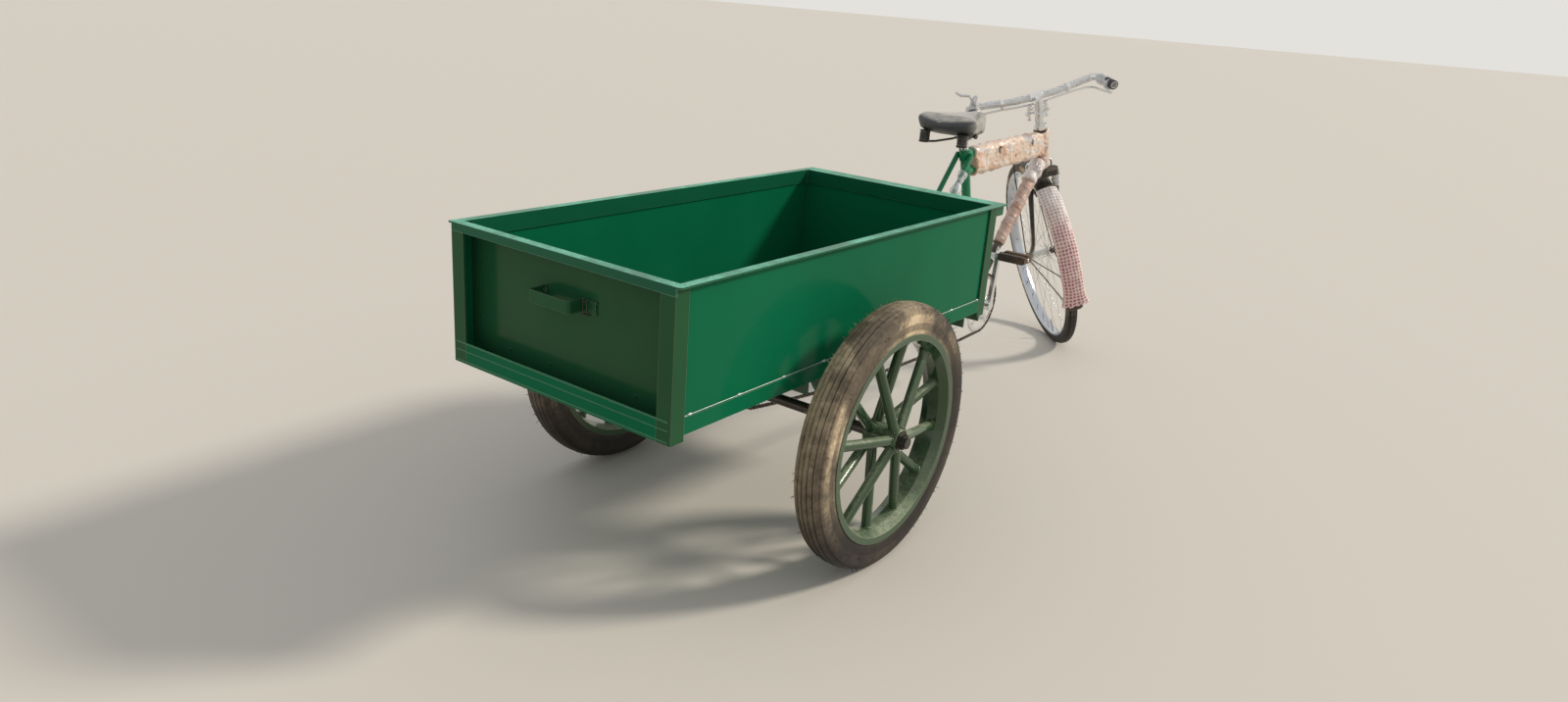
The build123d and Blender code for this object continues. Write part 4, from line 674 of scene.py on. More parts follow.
# %% Chain path
PITCH = 0.0127
CHAINRING_TEETH, SPROCKET_TEETH = 48, 22
CHAIN_X, CRANKS_AHEAD, CRANKS_Z = -0.042, 1.205, 0.292
SAG, RUN_STEPS = 0.026, 60
CHAINRING_AT = Vector((CHAIN_X, AXLE_Y - CRANKS_AHEAD, CRANKS_Z))
SPROCKET_AT = Vector((CHAIN_X, AXLE_Y, AXLE_Z))
CHAINRING_R = PITCH / 2 / sin(pi / CHAINRING_TEETH)
SPROCKET_R = PITCH / 2 / sin(pi / SPROCKET_TEETH)
centres = SPROCKET_AT - CHAINRING_AT
slope = atan2(centres.z, centres.y)
lead = asin((CHAINRING_R - SPROCKET_R) / centres.length)
above, below = pi / 2 + slope - lead, slope + lead - pi / 2


def round_wheel(centre, radius, start, turn):
    """Points round a toothed wheel."""
    turns = [start + turn * step / RUN_STEPS for step in range(RUN_STEPS + 1)]
    return [centre + Vector((0, cos(angle), sin(angle))) * radius for angle in turns]


over_sprocket = round_wheel(SPROCKET_AT, SPROCKET_R, above, below - above)
over_chainring = round_wheel(CHAINRING_AT, CHAINRING_R, below, above - below - 2 * pi)
slack = []
for step in range(1, RUN_STEPS):
    share = step / RUN_STEPS
    level_place = over_sprocket[-1].lerp(over_chainring[0], share)
    slack.append(level_place - Z * 4 * SAG * share * (1 - share))
path = over_sprocket + slack + over_chainring + over_sprocket[:1]
runs = [(second - first).length for first, second in zip(path, path[1:])]
loop_length = sum(runs)
link_count = round(loop_length / PITCH / 2) * 2
print("chain:", round(loop_length, 3), "m,", link_count, "links")


def along_chain(distance):
    """Place on the loop at a distance along it."""
    left = distance
    for first, second, length in zip(path, path[1:], runs):
        if left <= length:
            return first.lerp(second, left / length)
        left -= length


# %% Chain links
PLATE_T, PLATE_H = 0.0008, 0.0086
WAIST = 0.33                                # half a plate's height at its middle, as a share of the height
INNER_X, OUTER_X = 0.0016, 0.0024           # inner faces of the plates
PIN, ROLLER = (0.0034, 0.0018, 6), (0.0015, 0.0039, 8)      # half length, radius, sides


def link_plate(bm, start, end, side):
    """Plate with round ends and a waist, between two pins."""
    run = (end - start).normalized()
    across = Vector((0, -run.z, run.y))
    edge = []
    for tip, way in ((end, 1), (start, -1)):
        for degree in (-75, -25, 25, 75):
            angle = radians(degree)
            edge.append(tip + (run * cos(angle) + across * sin(angle)) * way * PLATE_H / 2)
        edge.append((start + end) / 2 + across * way * PLATE_H * WAIST)
    face = bm.faces.new([bm.verts.new(point + X * side) for point in edge])
    made = bmesh.ops.extrude_face_region(bm, geom=[face])["geom"]
    bmesh.ops.translate(bm, verts=only(bmesh.types.BMVert, made), vec=X * PLATE_T)


bm = bmesh.new()
pins = [along_chain(loop_length * count / link_count) for count in range(link_count)]
for count, pin in enumerate(pins):
    following = pins[(count + 1) % link_count]
    inside = OUTER_X if count % 2 else INNER_X
    for side in (inside, -inside - PLATE_T):
        link_plate(bm, pin, following, side)
    for half, radius, sides in (PIN, ROLLER):
        tube(bm, pin - X * half, pin + X * half, radius, sides)
made = piece("roller_chain", bm, "chassis", chain_steel, ("chain",), smooth=40)
print("chain faces:", len(made.data.polygons))

# %% [markdown]
# ## Front wheel
# The roadster tyre is narrow, with a block tread: grooves run round it and short cuts cross them, so that
# the crown is rows of small bars. It is turned in many steps, and every third column of the crown is sunk
# to make the cuts. The spokes' nipples and the valve are too small for the solids and are added here.

# %% Front tyre
SECTION_R, SECTION_AT = 19.0, 336.6         # the tyre's round section, and its centre from the axle
SECTION_TURNS = (-30, -8, 12, 28, 40, 52, 56, 60, 72, 79, 83, 97, 101, 108, 120, 124, 128, 140, 152, 168, 188,
                 210)
GROOVE_TURNS, FRONT_GROOVE = (56, 83, 97, 124), 1.5
FRONT_FOOT = ((13.0, 315.2), (14.7, 322.0))
FRONT_STEPS = 264
CUT_BEYOND, CUT_DEEP = 0.3490, 0.0014       # cuts cross the tread outside this radius
outline = list(FRONT_FOOT)
for degree in SECTION_TURNS:
    radius = SECTION_R - (FRONT_GROOVE if degree in GROOVE_TURNS else 0.0)
    outline.append((radius * cos(radians(degree)), SECTION_AT + radius * sin(radians(degree))))
outline += [(-side, radius) for side, radius in reversed(FRONT_FOOT)]
bm = bmesh.new()
lathe(bm, outline, FRONT_HUB, FRONT_AXLE, HEAD_UP, FRONT_STEPS)
for vert in bm.verts:
    away = vert.co - FRONT_HUB
    out = away - FRONT_AXLE * away.dot(FRONT_AXLE)
    column = round(atan2(out.dot(FORWARD), out.dot(HEAD_UP)) / (2 * pi) * FRONT_STEPS)
    if out.length > CUT_BEYOND and column % 3 == 0:
        vert.co -= out.normalized() * CUT_DEEP
made = piece("roadster_tyre", bm, "front_roller", front_rubber, ("front_tyre",), smooth=28)
print("front tyre faces:", len(made.data.polygons))


# %% Front nipples and valve
def on_front_wheel(side, angle, radius):
    """Place on the front wheel: millimetres along its axle, an angle forward of upright, millimetres out."""
    out = HEAD_UP * cos(angle) + FORWARD * sin(angle)
    return FRONT_HUB + FRONT_AXLE * side * MM + out * radius * MM


FRONT_SPOKES, NIPPLE = 32, (309, 296)       # nipples stand between these radii
FRONT_VALVE_AT = radians(200)
bm = bmesh.new()
for count in range(FRONT_SPOKES):
    angle = 2 * pi * count / FRONT_SPOKES
    lean = 1.4 if count % 2 else -1.4
    tube(bm, on_front_wheel(0, angle, NIPPLE[0]), on_front_wheel(lean, angle, NIPPLE[1]), 0.0024, 6, 0.8)
for start, end, radius in ((309, 276, 3.0), (290, 274, 3.8)):
    tube(bm, on_front_wheel(0, FRONT_VALVE_AT, start), on_front_wheel(0, FRONT_VALVE_AT, end), radius * MM, 8)
piece("front_nipples", bm, "front_roller", spoke_steel)
print("nipples:", FRONT_SPOKES)

# %% [markdown]
# ## Wrapped tubes
# The bicycle half is still in its transport wrapping: brown paper and cloudy film, wound round the top
# tubes and the down tube. The solid shows where each wrap goes. A copy of it is remeshed into small even
# cells, smoothed, and then creased: a slow noise makes it lumpy, sharper noises fold it, and a ridge that
# runs round at a slant shows the turns of the winding. Here and there the wrap has dark ragged patches.

# %% Wrap maker
def remeshed(node, cell):
    """A bmesh of even cells in the shape of a solid."""
    mesh = nodes[node].data.copy()
    mesh.materials.clear()
    merged = bmesh.new()
    merged.from_mesh(mesh)
    bmesh.ops.remove_doubles(merged, verts=merged.verts, dist=1e-5)
    merged.to_mesh(mesh)
    merged.free()
    copy = show(f"{node}_cells", mesh)
    remesh = copy.modifiers.new("cells", "REMESH")
    remesh.mode = "VOXEL"
    remesh.voxel_size = cell
    even = bpy.data.meshes.new_from_object(copy.evaluated_get(bpy.context.evaluated_depsgraph_get()))
    bpy.data.objects.remove(copy)
    bm = bmesh.new()
    bm.from_mesh(even)
    return bm


def soften(bm, rounds):
    for _ in range(rounds):
        bmesh.ops.smooth_vert(bm, verts=bm.verts, factor=0.5, use_axis_x=True, use_axis_y=True,
                              use_axis_z=True)


def folded(point):
    """Noise with sharp ridges in place of soft hills."""
    return -abs(noise.noise(point)) * 2


def crumple(bm, start, end, lump, turns, slant=0.8):
    """Lumps, folds and winding ridges on a wrap that runs from start to end."""
    run = (end - start).normalized()
    one_way = run.orthogonal().normalized()
    other_way = run.cross(one_way)
    shift = Vector((turns, turns, 0))
    crease = lump * 0.45
    soften(bm, 3)
    bm.normal_update()
    for vert in bm.verts:
        away = vert.co - start
        reach = away.dot(run) / (end - start).length
        around = atan2(away.dot(other_way), away.dot(one_way)) / (2 * pi)
        ridge = abs((reach * turns + around * slant) % 1.0 - 0.5) * 2
        soft = noise.noise(vert.co * 38 + shift)
        drawn = Vector((vert.co.x * 60, vert.co.y * 34 - vert.co.z * 30, vert.co.z * 60))
        fold = 0.5 + folded(drawn + shift)
        fine = 0.4 + folded(vert.co * 130 + shift)
        vert.co += vert.normal * (lump * soft + crease * (fold + fine * 0.2) + lump * 0.7 * ridge ** 5)


# %% Wrap materials
# Dark ragged patches on the top wrap, each a place and a radius.
DARK_PATCH = (0.020, 0.016, 0.013, 1)
DARK_PATCHES = (((-0.020, -0.455, 0.788), 0.0135), ((-0.022, -0.695, 0.798), 0.0125),
         ((-0.022, -0.575, 0.765), 0.006))


def wrapping(name, base, stain, film, film_share, patches=()):
    """Paper with a cloudy film over it, both crumpled, with dark ragged patches. A patch is a place and a
    radius in metres.
    """
    material, tree, shader = new_material(name)
    here = object_place(tree)
    fine = clouds(here, 70.0, 6.0, 0.6)
    strands = clouds(stretched(here, (40, 14, 70), (0.75, 0.0, 0.0)), 1.0, 4.0)
    stained = mix(ramp(clouds(here, 15.0, 4.0, 0.6), 0.42, 0.62), (*base, 1), (*stain, 1))
    filmed = mix(ramp(strands, 0.52, 0.66, 0.0, film_share), stained, (*film, 1))
    mottled = toned(filmed, ramp(fine, 0.3, 0.7, 0.88, 1.05))
    for centre, radius in patches:
        ragged = plus(vectors("DISTANCE", here, centre, out="Value"), times(fine, radius * 0.9))
        mottled = mix(ramp(ragged, radius * 1.5, radius * 1.3), mottled, DARK_PATCH)
    plug(shader, {"Base Color": mottled, "Roughness": ramp(strands, 0.45, 0.62, 0.62, 0.22),
                  "Normal": bumped(plus(fine, strands), 0.0012, 0.45),
                  "Coat Weight": 0.35, "Coat Roughness": 0.2})
    return material


top_paper = wrapping("top_wrap_paper", (0.76, 0.58, 0.45), (0.66, 0.42, 0.29), (0.70, 0.68, 0.66), 0.9, DARK_PATCHES)
down_paper = wrapping("down_wrap_paper", (0.56, 0.37, 0.29), (0.40, 0.22, 0.16), (0.64, 0.57, 0.53), 0.5)
print("tears in the top wrap:", len(DARK_PATCHES))

# %% Wraps
WRAPS = (                                   # name, solid, start, end, material, turns, size of the lumps
    ("top_wrapping", "top_wrap", (0, -0.2428, 0.806), (0, -0.81, 0.86), top_paper, 9, 0.0046),
    ("down_wrapping", "down_wrap", (0, -0.42, 0.29), (0, -0.84, 0.75), down_paper, 16, 0.0026),
)
for name, node, start, end, material, turns, lump in WRAPS:
    bm = remeshed(node, 0.0028)
    crumple(bm, Vector(start), Vector(end), lump, turns)
    made = piece(name, bm, "chassis", material, (node,), smooth=50)
    print(name, len(made.data.vertices), "points")

# %% [markdown]
# ## Net sleeve
# A sleeve of foam bubble net is pulled over the rear of the mudguard. Its mesh is rows of small cells,
# thick strands round thin windows, pink where it is new and greyer where it is dusty. The windows are too
# many to model, so they are drawn by the material in the sleeve's own UV map: along the guard and across
# it. The lower end is ragged and flares where it was pulled over the guard's tip.

# %% Net material
NET_CELL = (0.0150, 0.0120)                 # across the guard and along it
NET_SWAY = 0.010
PINK, DUSTY_PINK, PALE_FOAM = (0.80, 0.50, 0.48, 1), (0.84, 0.66, 0.58, 1), (0.84, 0.78, 0.74, 1)
WINDOW, DUSTY_WINDOW, PALE_WINDOW = (0.30, 0.13, 0.15, 1), (0.50, 0.30, 0.25, 1), (0.62, 0.50, 0.47, 1)


def netting():
    material, tree, shader = new_material("bubble_net")
    uv = add(tree, "UVMap", uv_map="along_guard").outputs[0]
    wobble = clouds(uv, 30.0, 3.0).node.outputs["Color"]
    sway = vectors("SUBTRACT", wobble, (0.5, 0.5, 0.5))
    bent = parts(vectors("ADD", uv, vectors("MULTIPLY", sway, (NET_SWAY, NET_SWAY, NET_SWAY))))
    column, row = [math("ABSOLUTE", math("SINE", times(bent[way], pi / cell)))
                   for way, cell in zip("XY", NET_CELL)]
    strand = ramp(times(column, row), 0.34, 0.72, 1.0, 0.0)
    patch = clouds(object_place(tree), 14.0, 4.0, 0.6)
    near_crown = ramp(bent["Y"], -0.32, -0.14)
    foam = mix(near_crown, mix(ramp(patch, 0.40, 0.62), PINK, DUSTY_PINK), PALE_FOAM)
    window = mix(near_crown, mix(ramp(patch, 0.35, 0.65), WINDOW, DUSTY_WINDOW), PALE_WINDOW)
    plug(shader, {"Base Color": mix(strand, window, foam), "Roughness": ramp(strand, 0.0, 1.0, 0.30, 0.55),
                  "Normal": bumped(strand, 0.0016, 0.9), "Sheen Weight": 0.3})
    return material


net_material = netting()
print("net material:", len(net_material.node_tree.nodes), "nodes")

# %% Net sleeve
NET_REAR, NET_FRONT = radians(-86), radians(-18)
NET_ALONG, NET_ACROSS = 180, 24
NET_HALF, NET_FOOT, NET_HIGH = 38.5, 366.5, 18.5
NET_T = 0.0016


def fading(distance, reach):
    """1 at no distance, and nothing from reach on."""
    return max(0.0, 1 - distance / reach)


def on_guard(point):
    """Metres from the guard's middle plane, angle forward of upright, way out."""
    away = point - FRONT_HUB
    side = away.dot(FRONT_AXLE)
    out = away - FRONT_AXLE * side
    return side, atan2(out.dot(FORWARD), out.dot(HEAD_UP)), out.normalized()


bm = bmesh.new()
profile = [(NET_HALF * cos(pi * step / NET_ACROSS), NET_FOOT + NET_HIGH * sin(pi * step / NET_ACROSS))
           for step in range(NET_ACROSS + 1)]
rear_radial = HEAD_UP * cos(NET_REAR) + FORWARD * sin(NET_REAR)
lathe(bm, profile, FRONT_HUB, FRONT_AXLE, rear_radial, NET_ALONG, NET_FRONT - NET_REAR, closed=False)
uv_layer = bm.loops.layers.uv.new("along_guard")
for face in bm.faces:
    for loop in face.loops:
        side, angle, out = on_guard(loop.vert.co)
        loop[uv_layer].uv = (side * 1.3, angle * 0.37)
for vert in bm.verts:
    side, angle, out = on_guard(vert.co)
    share = (angle - NET_REAR) / (NET_FRONT - NET_REAR)
    flare = fading(share, 1 / 7) ** 2
    fold = noise.noise(Vector((side * 28, angle * 2.4, 1.0)))
    ripple = noise.noise(Vector((side * 60, angle * 10, 5.0)))
    vert.co += out * (0.0035 * fold + 0.0022 * ripple + 0.006 * flare)
    vert.co += FRONT_AXLE * (0.003 * fold + side * 0.35 * flare)
    if share < 0.02:
        vert.co += out.cross(FRONT_AXLE) * noise.noise(Vector((side * 240, 3.0, 0.0))) * 0.012
bmesh.ops.solidify(bm, geom=bm.faces, thickness=NET_T)
made = piece("net_sleeve", bm, "steering", net_material, ("mudguard_net",), smooth=60)
print("net faces:", len(made.data.polygons))

# %% [markdown]
# ## Places on the steering, and bent bars
# Everything that turns with the handlebar is placed from the front hub: so far along its axle, so far
# forward and so far up the head axis. One helper turns such a triple of millimetres into a place in metres.
# Wires and sleeves of film are round skins along a path, so a second helper extrudes a circle from place to
# place.

# %% Steering places and hoses
HEAD_BACK = -80.8           # the head axis behind the hub


def steered(side, front, up):
    return FRONT_HUB + (FRONT_AXLE * side + FORWARD * front + HEAD_UP * up) * MM


def circle(bm, radius, matrix, sides):
    """A round face: its verts and its edges."""
    verts = bmesh.ops.create_circle(bm, segments=sides, radius=radius, cap_ends=True, matrix=matrix)["verts"]
    return verts, list({edge for vert in verts for edge in vert.link_edges})


def hose(bm, points, radii, sides=12):
    """Round skin along a path: a circle that is extruded, turned and scaled from place to place."""
    heading = (points[1] - points[0]).normalized()
    start = Matrix.Translation(points[0]) @ heading.to_track_quat("Z", "Y").to_matrix().to_4x4()
    _, edges = circle(bm, radii[0], start, sides)
    for index in range(1, len(points)):
        ahead = (points[min(index + 1, len(points) - 1)] - points[index - 1]).normalized()
        made = bmesh.ops.extrude_edge_only(bm, edges=edges)["geom"]
        verts = only(bmesh.types.BMVert, made)
        edges = [edge for edge in only(bmesh.types.BMEdge, made) if all(vert in verts for vert in edge.verts)]
        bmesh.ops.translate(bm, verts=verts, vec=points[index] - points[index - 1])
        turn = heading.rotation_difference(ahead).to_matrix()
        bmesh.ops.rotate(bm, verts=verts, cent=points[index], matrix=turn)
        grow = radii[index] / radii[index - 1]
        bmesh.ops.scale(bm, verts=verts, vec=(grow, grow, grow), space=Matrix.Translation(-points[index]))
        heading = ahead
    bmesh.ops.holes_fill(bm, edges=edges, sides=sides)


def wire(bm, points, radius, sides=8):
    hose(bm, [Vector(point) for point in points], [radius] * len(points), sides)


def along(points, step):
    """The same path with a place every step or so."""
    dense = [points[0]]
    for first, second in zip(points, points[1:]):
        count = max(1, round((second - first).length / step))
        dense += [first.lerp(second, share / count) for share in range(1, count + 1)]
    return dense


print("middle of the stem:", tuple(steered(0, HEAD_BACK, 635)))

# %% [markdown]
# ## Saddle
# The saddle is a padded piece: a dark grey cover over foam, wide at the rear, with a narrow nose that hangs
# a little lower than the rest. A copy of its plain solid is remeshed into even cells and bent along its
# length, then cloth pressure from inside swells the cover, and no point may move more than a few
# millimetres. A pale film lies on its top; the pale colour on the faces that turn up and to the right,
# towards the lamp, is partly that film and partly a painted highlight of glare, so the cover's colour
# changes with the way it faces.

# %% Saddle cover material
COVER, COVER_FILM_AND_GLARE = (0.050, 0.050, 0.053, 1), (0.44, 0.41, 0.36, 1)
saddle_cover, tree, shader = new_material("saddle_cover")
here = object_place(tree)
facing = parts(flat_normal(tree))
# Pale on faces turned up and to the right, towards the lamp: partly film, partly a painted highlight of
# glare.
up_or_right = math("MAXIMUM", facing["Z"], times(facing["X"], -0.9))
smudge = clouds(here, 26.0, 6.0, 0.65)
leather = add(tree, "TexVoronoi", {"Vector": here, "Scale": 620.0}, feature="DISTANCE_TO_EDGE").outputs[0]
film_share = times(ramp(up_or_right, 0.55, 0.9), ramp(smudge, 0.30, 0.62, 0.55, 1.0))
plug(shader, {"Base Color": mix(film_share, COVER, COVER_FILM_AND_GLARE),
              "Roughness": ramp(film_share, 0.0, 1.0, 0.50, 0.30),
              "Normal": bumped(plus(leather, smudge), 0.0005, 0.5)})
print("saddle cover:", len(tree.nodes), "nodes")

# %% Swelling with cloth
SWELL_FRAMES, SWELL_PRESSURE = 20, 4.0


def swell(bm, cap):
    """Cloth pressure rounds a closed skin, and no point moves further than cap."""
    mesh = bpy.data.meshes.new("swelling")
    bm.to_mesh(mesh)
    skin = show("swelling", mesh)
    cloth = skin.modifiers.new("cloth", "CLOTH")
    cloth.settings.use_pressure = True
    cloth.settings.uniform_pressure_force = SWELL_PRESSURE
    cloth.settings.effector_weights.gravity = 0
    for moment in range(1, SWELL_FRAMES + 1):
        bpy.context.scene.frame_set(moment)
    swollen = bpy.data.meshes.new_from_object(skin.evaluated_get(bpy.context.evaluated_depsgraph_get()))
    for vert, end in zip(bm.verts, swollen.vertices):
        move = end.co - vert.co
        vert.co += move * min(1.0, cap / max(move.length, 1e-9))
    bpy.data.objects.remove(skin)
    bpy.context.scene.frame_set(1)


# %% Saddle
SADDLE_REAR, SADDLE_LENGTH = -0.0548, 0.284
SKIRT_TOP, SKIRT_H = 0.900, 0.038           # the skirt hangs below this height
WAIST_AT, NOSE_AT, REAR_AT = 0.60, 0.86, 0.12       # shares of the length from the rear
CHANNEL_HALF, CHANNEL_DEEP, CHANNEL_FROM = 0.006, 0.0016, 0.885
bm = remeshed("saddle", 0.0045)
for vert in bm.verts:
    share = (SADDLE_REAR - vert.co.y) / SADDLE_LENGTH
    skirt = max(0.0, (SKIRT_TOP - vert.co.z) / SKIRT_H)
    rear_drop = 0.016 * (1 - min(1.0, skirt)) * fading(share, 0.22) ** 2
    vert.co.z += 0.006 * (1 - 2 * share) ** 2 - 0.007 - rear_drop
    vert.co.z += skirt * (0.016 * fading(share, 0.35) - 0.024 * max(0.0, share - 0.5))
    vert.co.x *= 0.985 + 0.30 * fading(abs(share - WAIST_AT), 0.36) - 0.16 * skirt * (1 - share)
    vert.co.x *= 1 + 0.05 * fading(abs(share - NOSE_AT), 0.28) + 0.10 * fading(abs(share - REAR_AT), 0.30)
soften(bm, 9)
swell(bm, 0.005)
for vert in bm.verts:
    on_top = max(0.0, min(1.0, (vert.co.z - CHANNEL_FROM) / 0.01))
    vert.co.z -= CHANNEL_DEEP * fading(abs(vert.co.x), CHANNEL_HALF) * on_top
saddle_piece = piece("saddle_pad", bm, "chassis", saddle_cover, ("saddle",), smooth=60)
print("saddle:", len(saddle_piece.data.vertices), "points")

# %% [markdown]
# ## Saddle springs
# Under the saddle's rear stand two coil springs, and a double wire runs forward from them to the nose. A
# coil is one circle spun about the spring's axis with a rise at each step, which is what a helix is.

# %% Springs and wires
SPRING_X, SPRING_Y = 0.062, -0.0988
SPRING_FOOT, SPRING_H, SPRING_TURNS, TURN_STEPS = 0.8315, 0.027, 5, 18
SPRING_R, SPRING_WIRE = 0.0132, 0.0026
SEAT_LEVELS, SEAT_HALF, SEAT_R = (0.8290, 0.8610), 0.0012, 0.0165       # discs that the springs stand between
WIRE_PATH = ((0.062, -0.098, 0.829), (0.048, -0.140, 0.8285), (0.022, -0.200, 0.836), (0.018, -0.250, 0.843),
             (0.014, -0.280, 0.852), (0.013, -0.300, 0.858))
CLAMP_X, CLAMP_Y, CLAMP_Z, CLAMP_R = 0.030, -0.245, 0.846, 0.0055
NUT_X, NUT_R, NUT_T = 0.031, 0.0085, 0.006
NOSE_PLATE = ((0, -0.2888, 0.857), (0.046, 0.018, 0.006))               # centre and size


def coil(bm, centre):
    """Coil spring that stands on centre."""
    upright = Matrix.Translation(centre + X * SPRING_R) @ Matrix.Rotation(pi / 2, 4, "X")
    verts, edges = circle(bm, SPRING_WIRE, upright, 8)
    steps = TURN_STEPS * SPRING_TURNS
    bmesh.ops.spin(bm, geom=verts + edges, cent=centre, axis=Z, angle=2 * pi * SPRING_TURNS, steps=steps,
                   dvec=Z * SPRING_H / steps)


bm = bmesh.new()
for side in (-1, 1):
    coil(bm, Vector((side * SPRING_X, SPRING_Y, SPRING_FOOT)))
    for seat in SEAT_LEVELS:
        centre = Vector((side * SPRING_X, SPRING_Y, seat))
        tube(bm, centre - Z * SEAT_HALF, centre + Z * SEAT_HALF, SEAT_R, 20)
    wire(bm, [(side * x, y, z) for x, y, z in WIRE_PATH], 0.0034)
    nut_at = Matrix.Translation((side * NUT_X, CLAMP_Y, CLAMP_Z)) @ Matrix.Rotation(pi / 2, 4, "Y")
    bmesh.ops.create_cone(bm, cap_ends=True, segments=6, radius1=NUT_R, radius2=NUT_R, depth=NUT_T,
                          matrix=nut_at)
tube(bm, (-CLAMP_X, CLAMP_Y, CLAMP_Z), (CLAMP_X, CLAMP_Y, CLAMP_Z), CLAMP_R, 12)
centre, size = NOSE_PLATE
bmesh.ops.create_cube(bm, size=1, matrix=Matrix.Translation(centre) @ Matrix.Diagonal((*size, 1)))
made = piece("saddle_wires", bm, "chassis", black_paint, ("saddle_springs",))
print("springs and wires:", len(made.data.polygons), "faces")

# %% [markdown]
# ## Clear film
# Thin film is still wound round the handlebar, knotted at the left grip and loose at the right one, and
# more of it is bunched at the head and on a seat stay. A film is mostly seen by its folds: the material is
# nearly clear where it lies flat and white where the folds crowd, with sharp highlights.

# %% Film material
def clear_film(name, thin, thick, tint):
    material, tree, shader = new_material(name)
    folds = clouds(object_place(tree), 85.0, 5.0, 0.7)
    plug(folds.node, {"Distortion": 1.2})
    crowd = ramp(folds, 0.44, 0.60)
    plug(shader, {"Base Color": (*tint, 1), "Alpha": ramp(crowd, 0.0, 1.0, thin, thick),
                  "Roughness": ramp(crowd, 0.0, 1.0, 0.12, 0.35), "Normal": bumped(folds, 0.002, 0.8),
                  "Coat Weight": 0.6})
    return material


bar_film = clear_film("bar_film", 0.30, 0.80, (0.80, 0.80, 0.80))
white_film = clear_film("white_film", 0.75, 1.0, (0.80, 0.78, 0.76))
grip_film = clear_film("grip_film", 0.60, 0.90, (0.80, 0.80, 0.82))
pink_film = clear_film("pink_film", 0.85, 1.0, (0.90, 0.80, 0.76))
print("materials:", len(bpy.data.materials))


# %% Film on the handlebar
BAR_PATH = ((8, -45, 685), (70, -45, 685), (112, -38, 686.4), (150, -31, 687.7), (186, -24.5, 688.9),
            (206, -22, 690), (219, -30, 691.5), (225, -50, 694))
BAR_FILM_R, FILM_STEP = 0.0128, 0.004


def rumple(bm, amount, seed, scale=110):
    """Sharp folds and soft lumps, for film."""
    bm.normal_update()
    shift = Vector((seed, 0, seed))
    for vert in bm.verts:
        fold = 0.5 + folded(vert.co * scale + shift)
        lump = noise.noise(vert.co * scale * 0.4 + shift)
        vert.co += vert.normal * amount * (fold * 0.6 + lump)


bm = bmesh.new()
for side in (-1, 1):
    points = along([steered(side * across, front, up) for across, front, up in BAR_PATH], FILM_STEP)
    hose(bm, points, [BAR_FILM_R] * len(points), 16)
rumple(bm, 0.0011, 3.0, 150)
made = piece("bar_film", bm, "steering", bar_film, smooth=70)
print("film on the bar:", len(made.data.polygons), "faces")

# %% Bow at the left grip
BOW_LOBES = (((-0.2, 0.2, 1.0), 0.050, 4.0), ((0.2, -0.4, 1.0), 0.030, 9.0))        # lean, reach, seed
BOW_TAIL = ((-0.004, 0, 0.030), (0.012, 0.010, 0.052), (0.036, 0.018, 0.050), (0.056, 0.030, 0.060))


def wad(bm, centre, half, seed, fold=0.3):
    """Crumpled lump of film."""
    lump = bmesh.ops.create_icosphere(bm, subdivisions=4, radius=1.0)["verts"]
    shift = Vector((seed, seed * 2, 0))
    for vert in lump:
        crease = 0.5 + folded(vert.co * 2.6 + shift)
        vert.co *= 1 + fold * (crease + noise.noise(vert.co * 1.3 + shift))
    bmesh.ops.transform(bm, verts=lump, matrix=Matrix.Translation(centre) @ Matrix.Diagonal((*half, 1)))


bm = bmesh.new()
knot = steered(224, -56, 694)
wad(bm, knot, (0.023, 0.019, 0.021), 2.0)
for lean, reach, seed in BOW_LOBES:
    way = Vector(lean).normalized()
    wad(bm, knot + way * reach * 0.55, [0.007 + abs(part) * reach * 0.42 for part in way], seed, 0.45)
tail = along([knot + Vector(step) for step in BOW_TAIL], 0.006)
hose(bm, tail, [0.0058, *[0.0050] * (len(tail) - 2), 0.0020], 8)
rumple(bm, 0.0014, 5.0, 130)
made = piece("left_film_bow", bm, "steering", white_film, smooth=70)
print("bow:", len(made.data.polygons), "faces")

# %% Loose film on the right grip
GRIP_FILM_PATH = ((-223, -52, 694), (-228, -80, 697), (-233, -122, 702))
GRIP_FILM_R, GRIP_WAVE = 0.0172, 0.0012
TORN_END, TORN_DROP = 0.03, 0.006           # length of the torn end, and how far its edge hangs down
bm = bmesh.new()
grip_path = along([steered(*point) for point in GRIP_FILM_PATH], FILM_STEP)
hose(bm, grip_path, [GRIP_FILM_R + GRIP_WAVE * sin(index * 0.5) for index in range(len(grip_path))], 20)
for vert in [vert for vert in bm.verts if (vert.co - grip_path[-1]).length < TORN_END]:
    vert.co.z -= TORN_DROP * chance.random()
rumple(bm, 0.0022, 8.0, 90)
wad(bm, steered(-231, -112, 686), (0.013, 0.020, 0.007), 6.0, 0.4)
made = piece("right_grip_film", bm, "steering", grip_film, smooth=70)
print("grip film:", len(made.data.polygons), "faces")

# %% [markdown]
# ## Brake linkage at the stem
# Rod brakes pull through a small linkage at the stem: a clamp, a cross shaft with a nut at each end, and an
# upright link on either side. A wire bow at the fork's crown carries the pull down on both sides of the
# wheel. All of it is short round bars and nuts between two places on the steering, so it comes from two
# short tables.

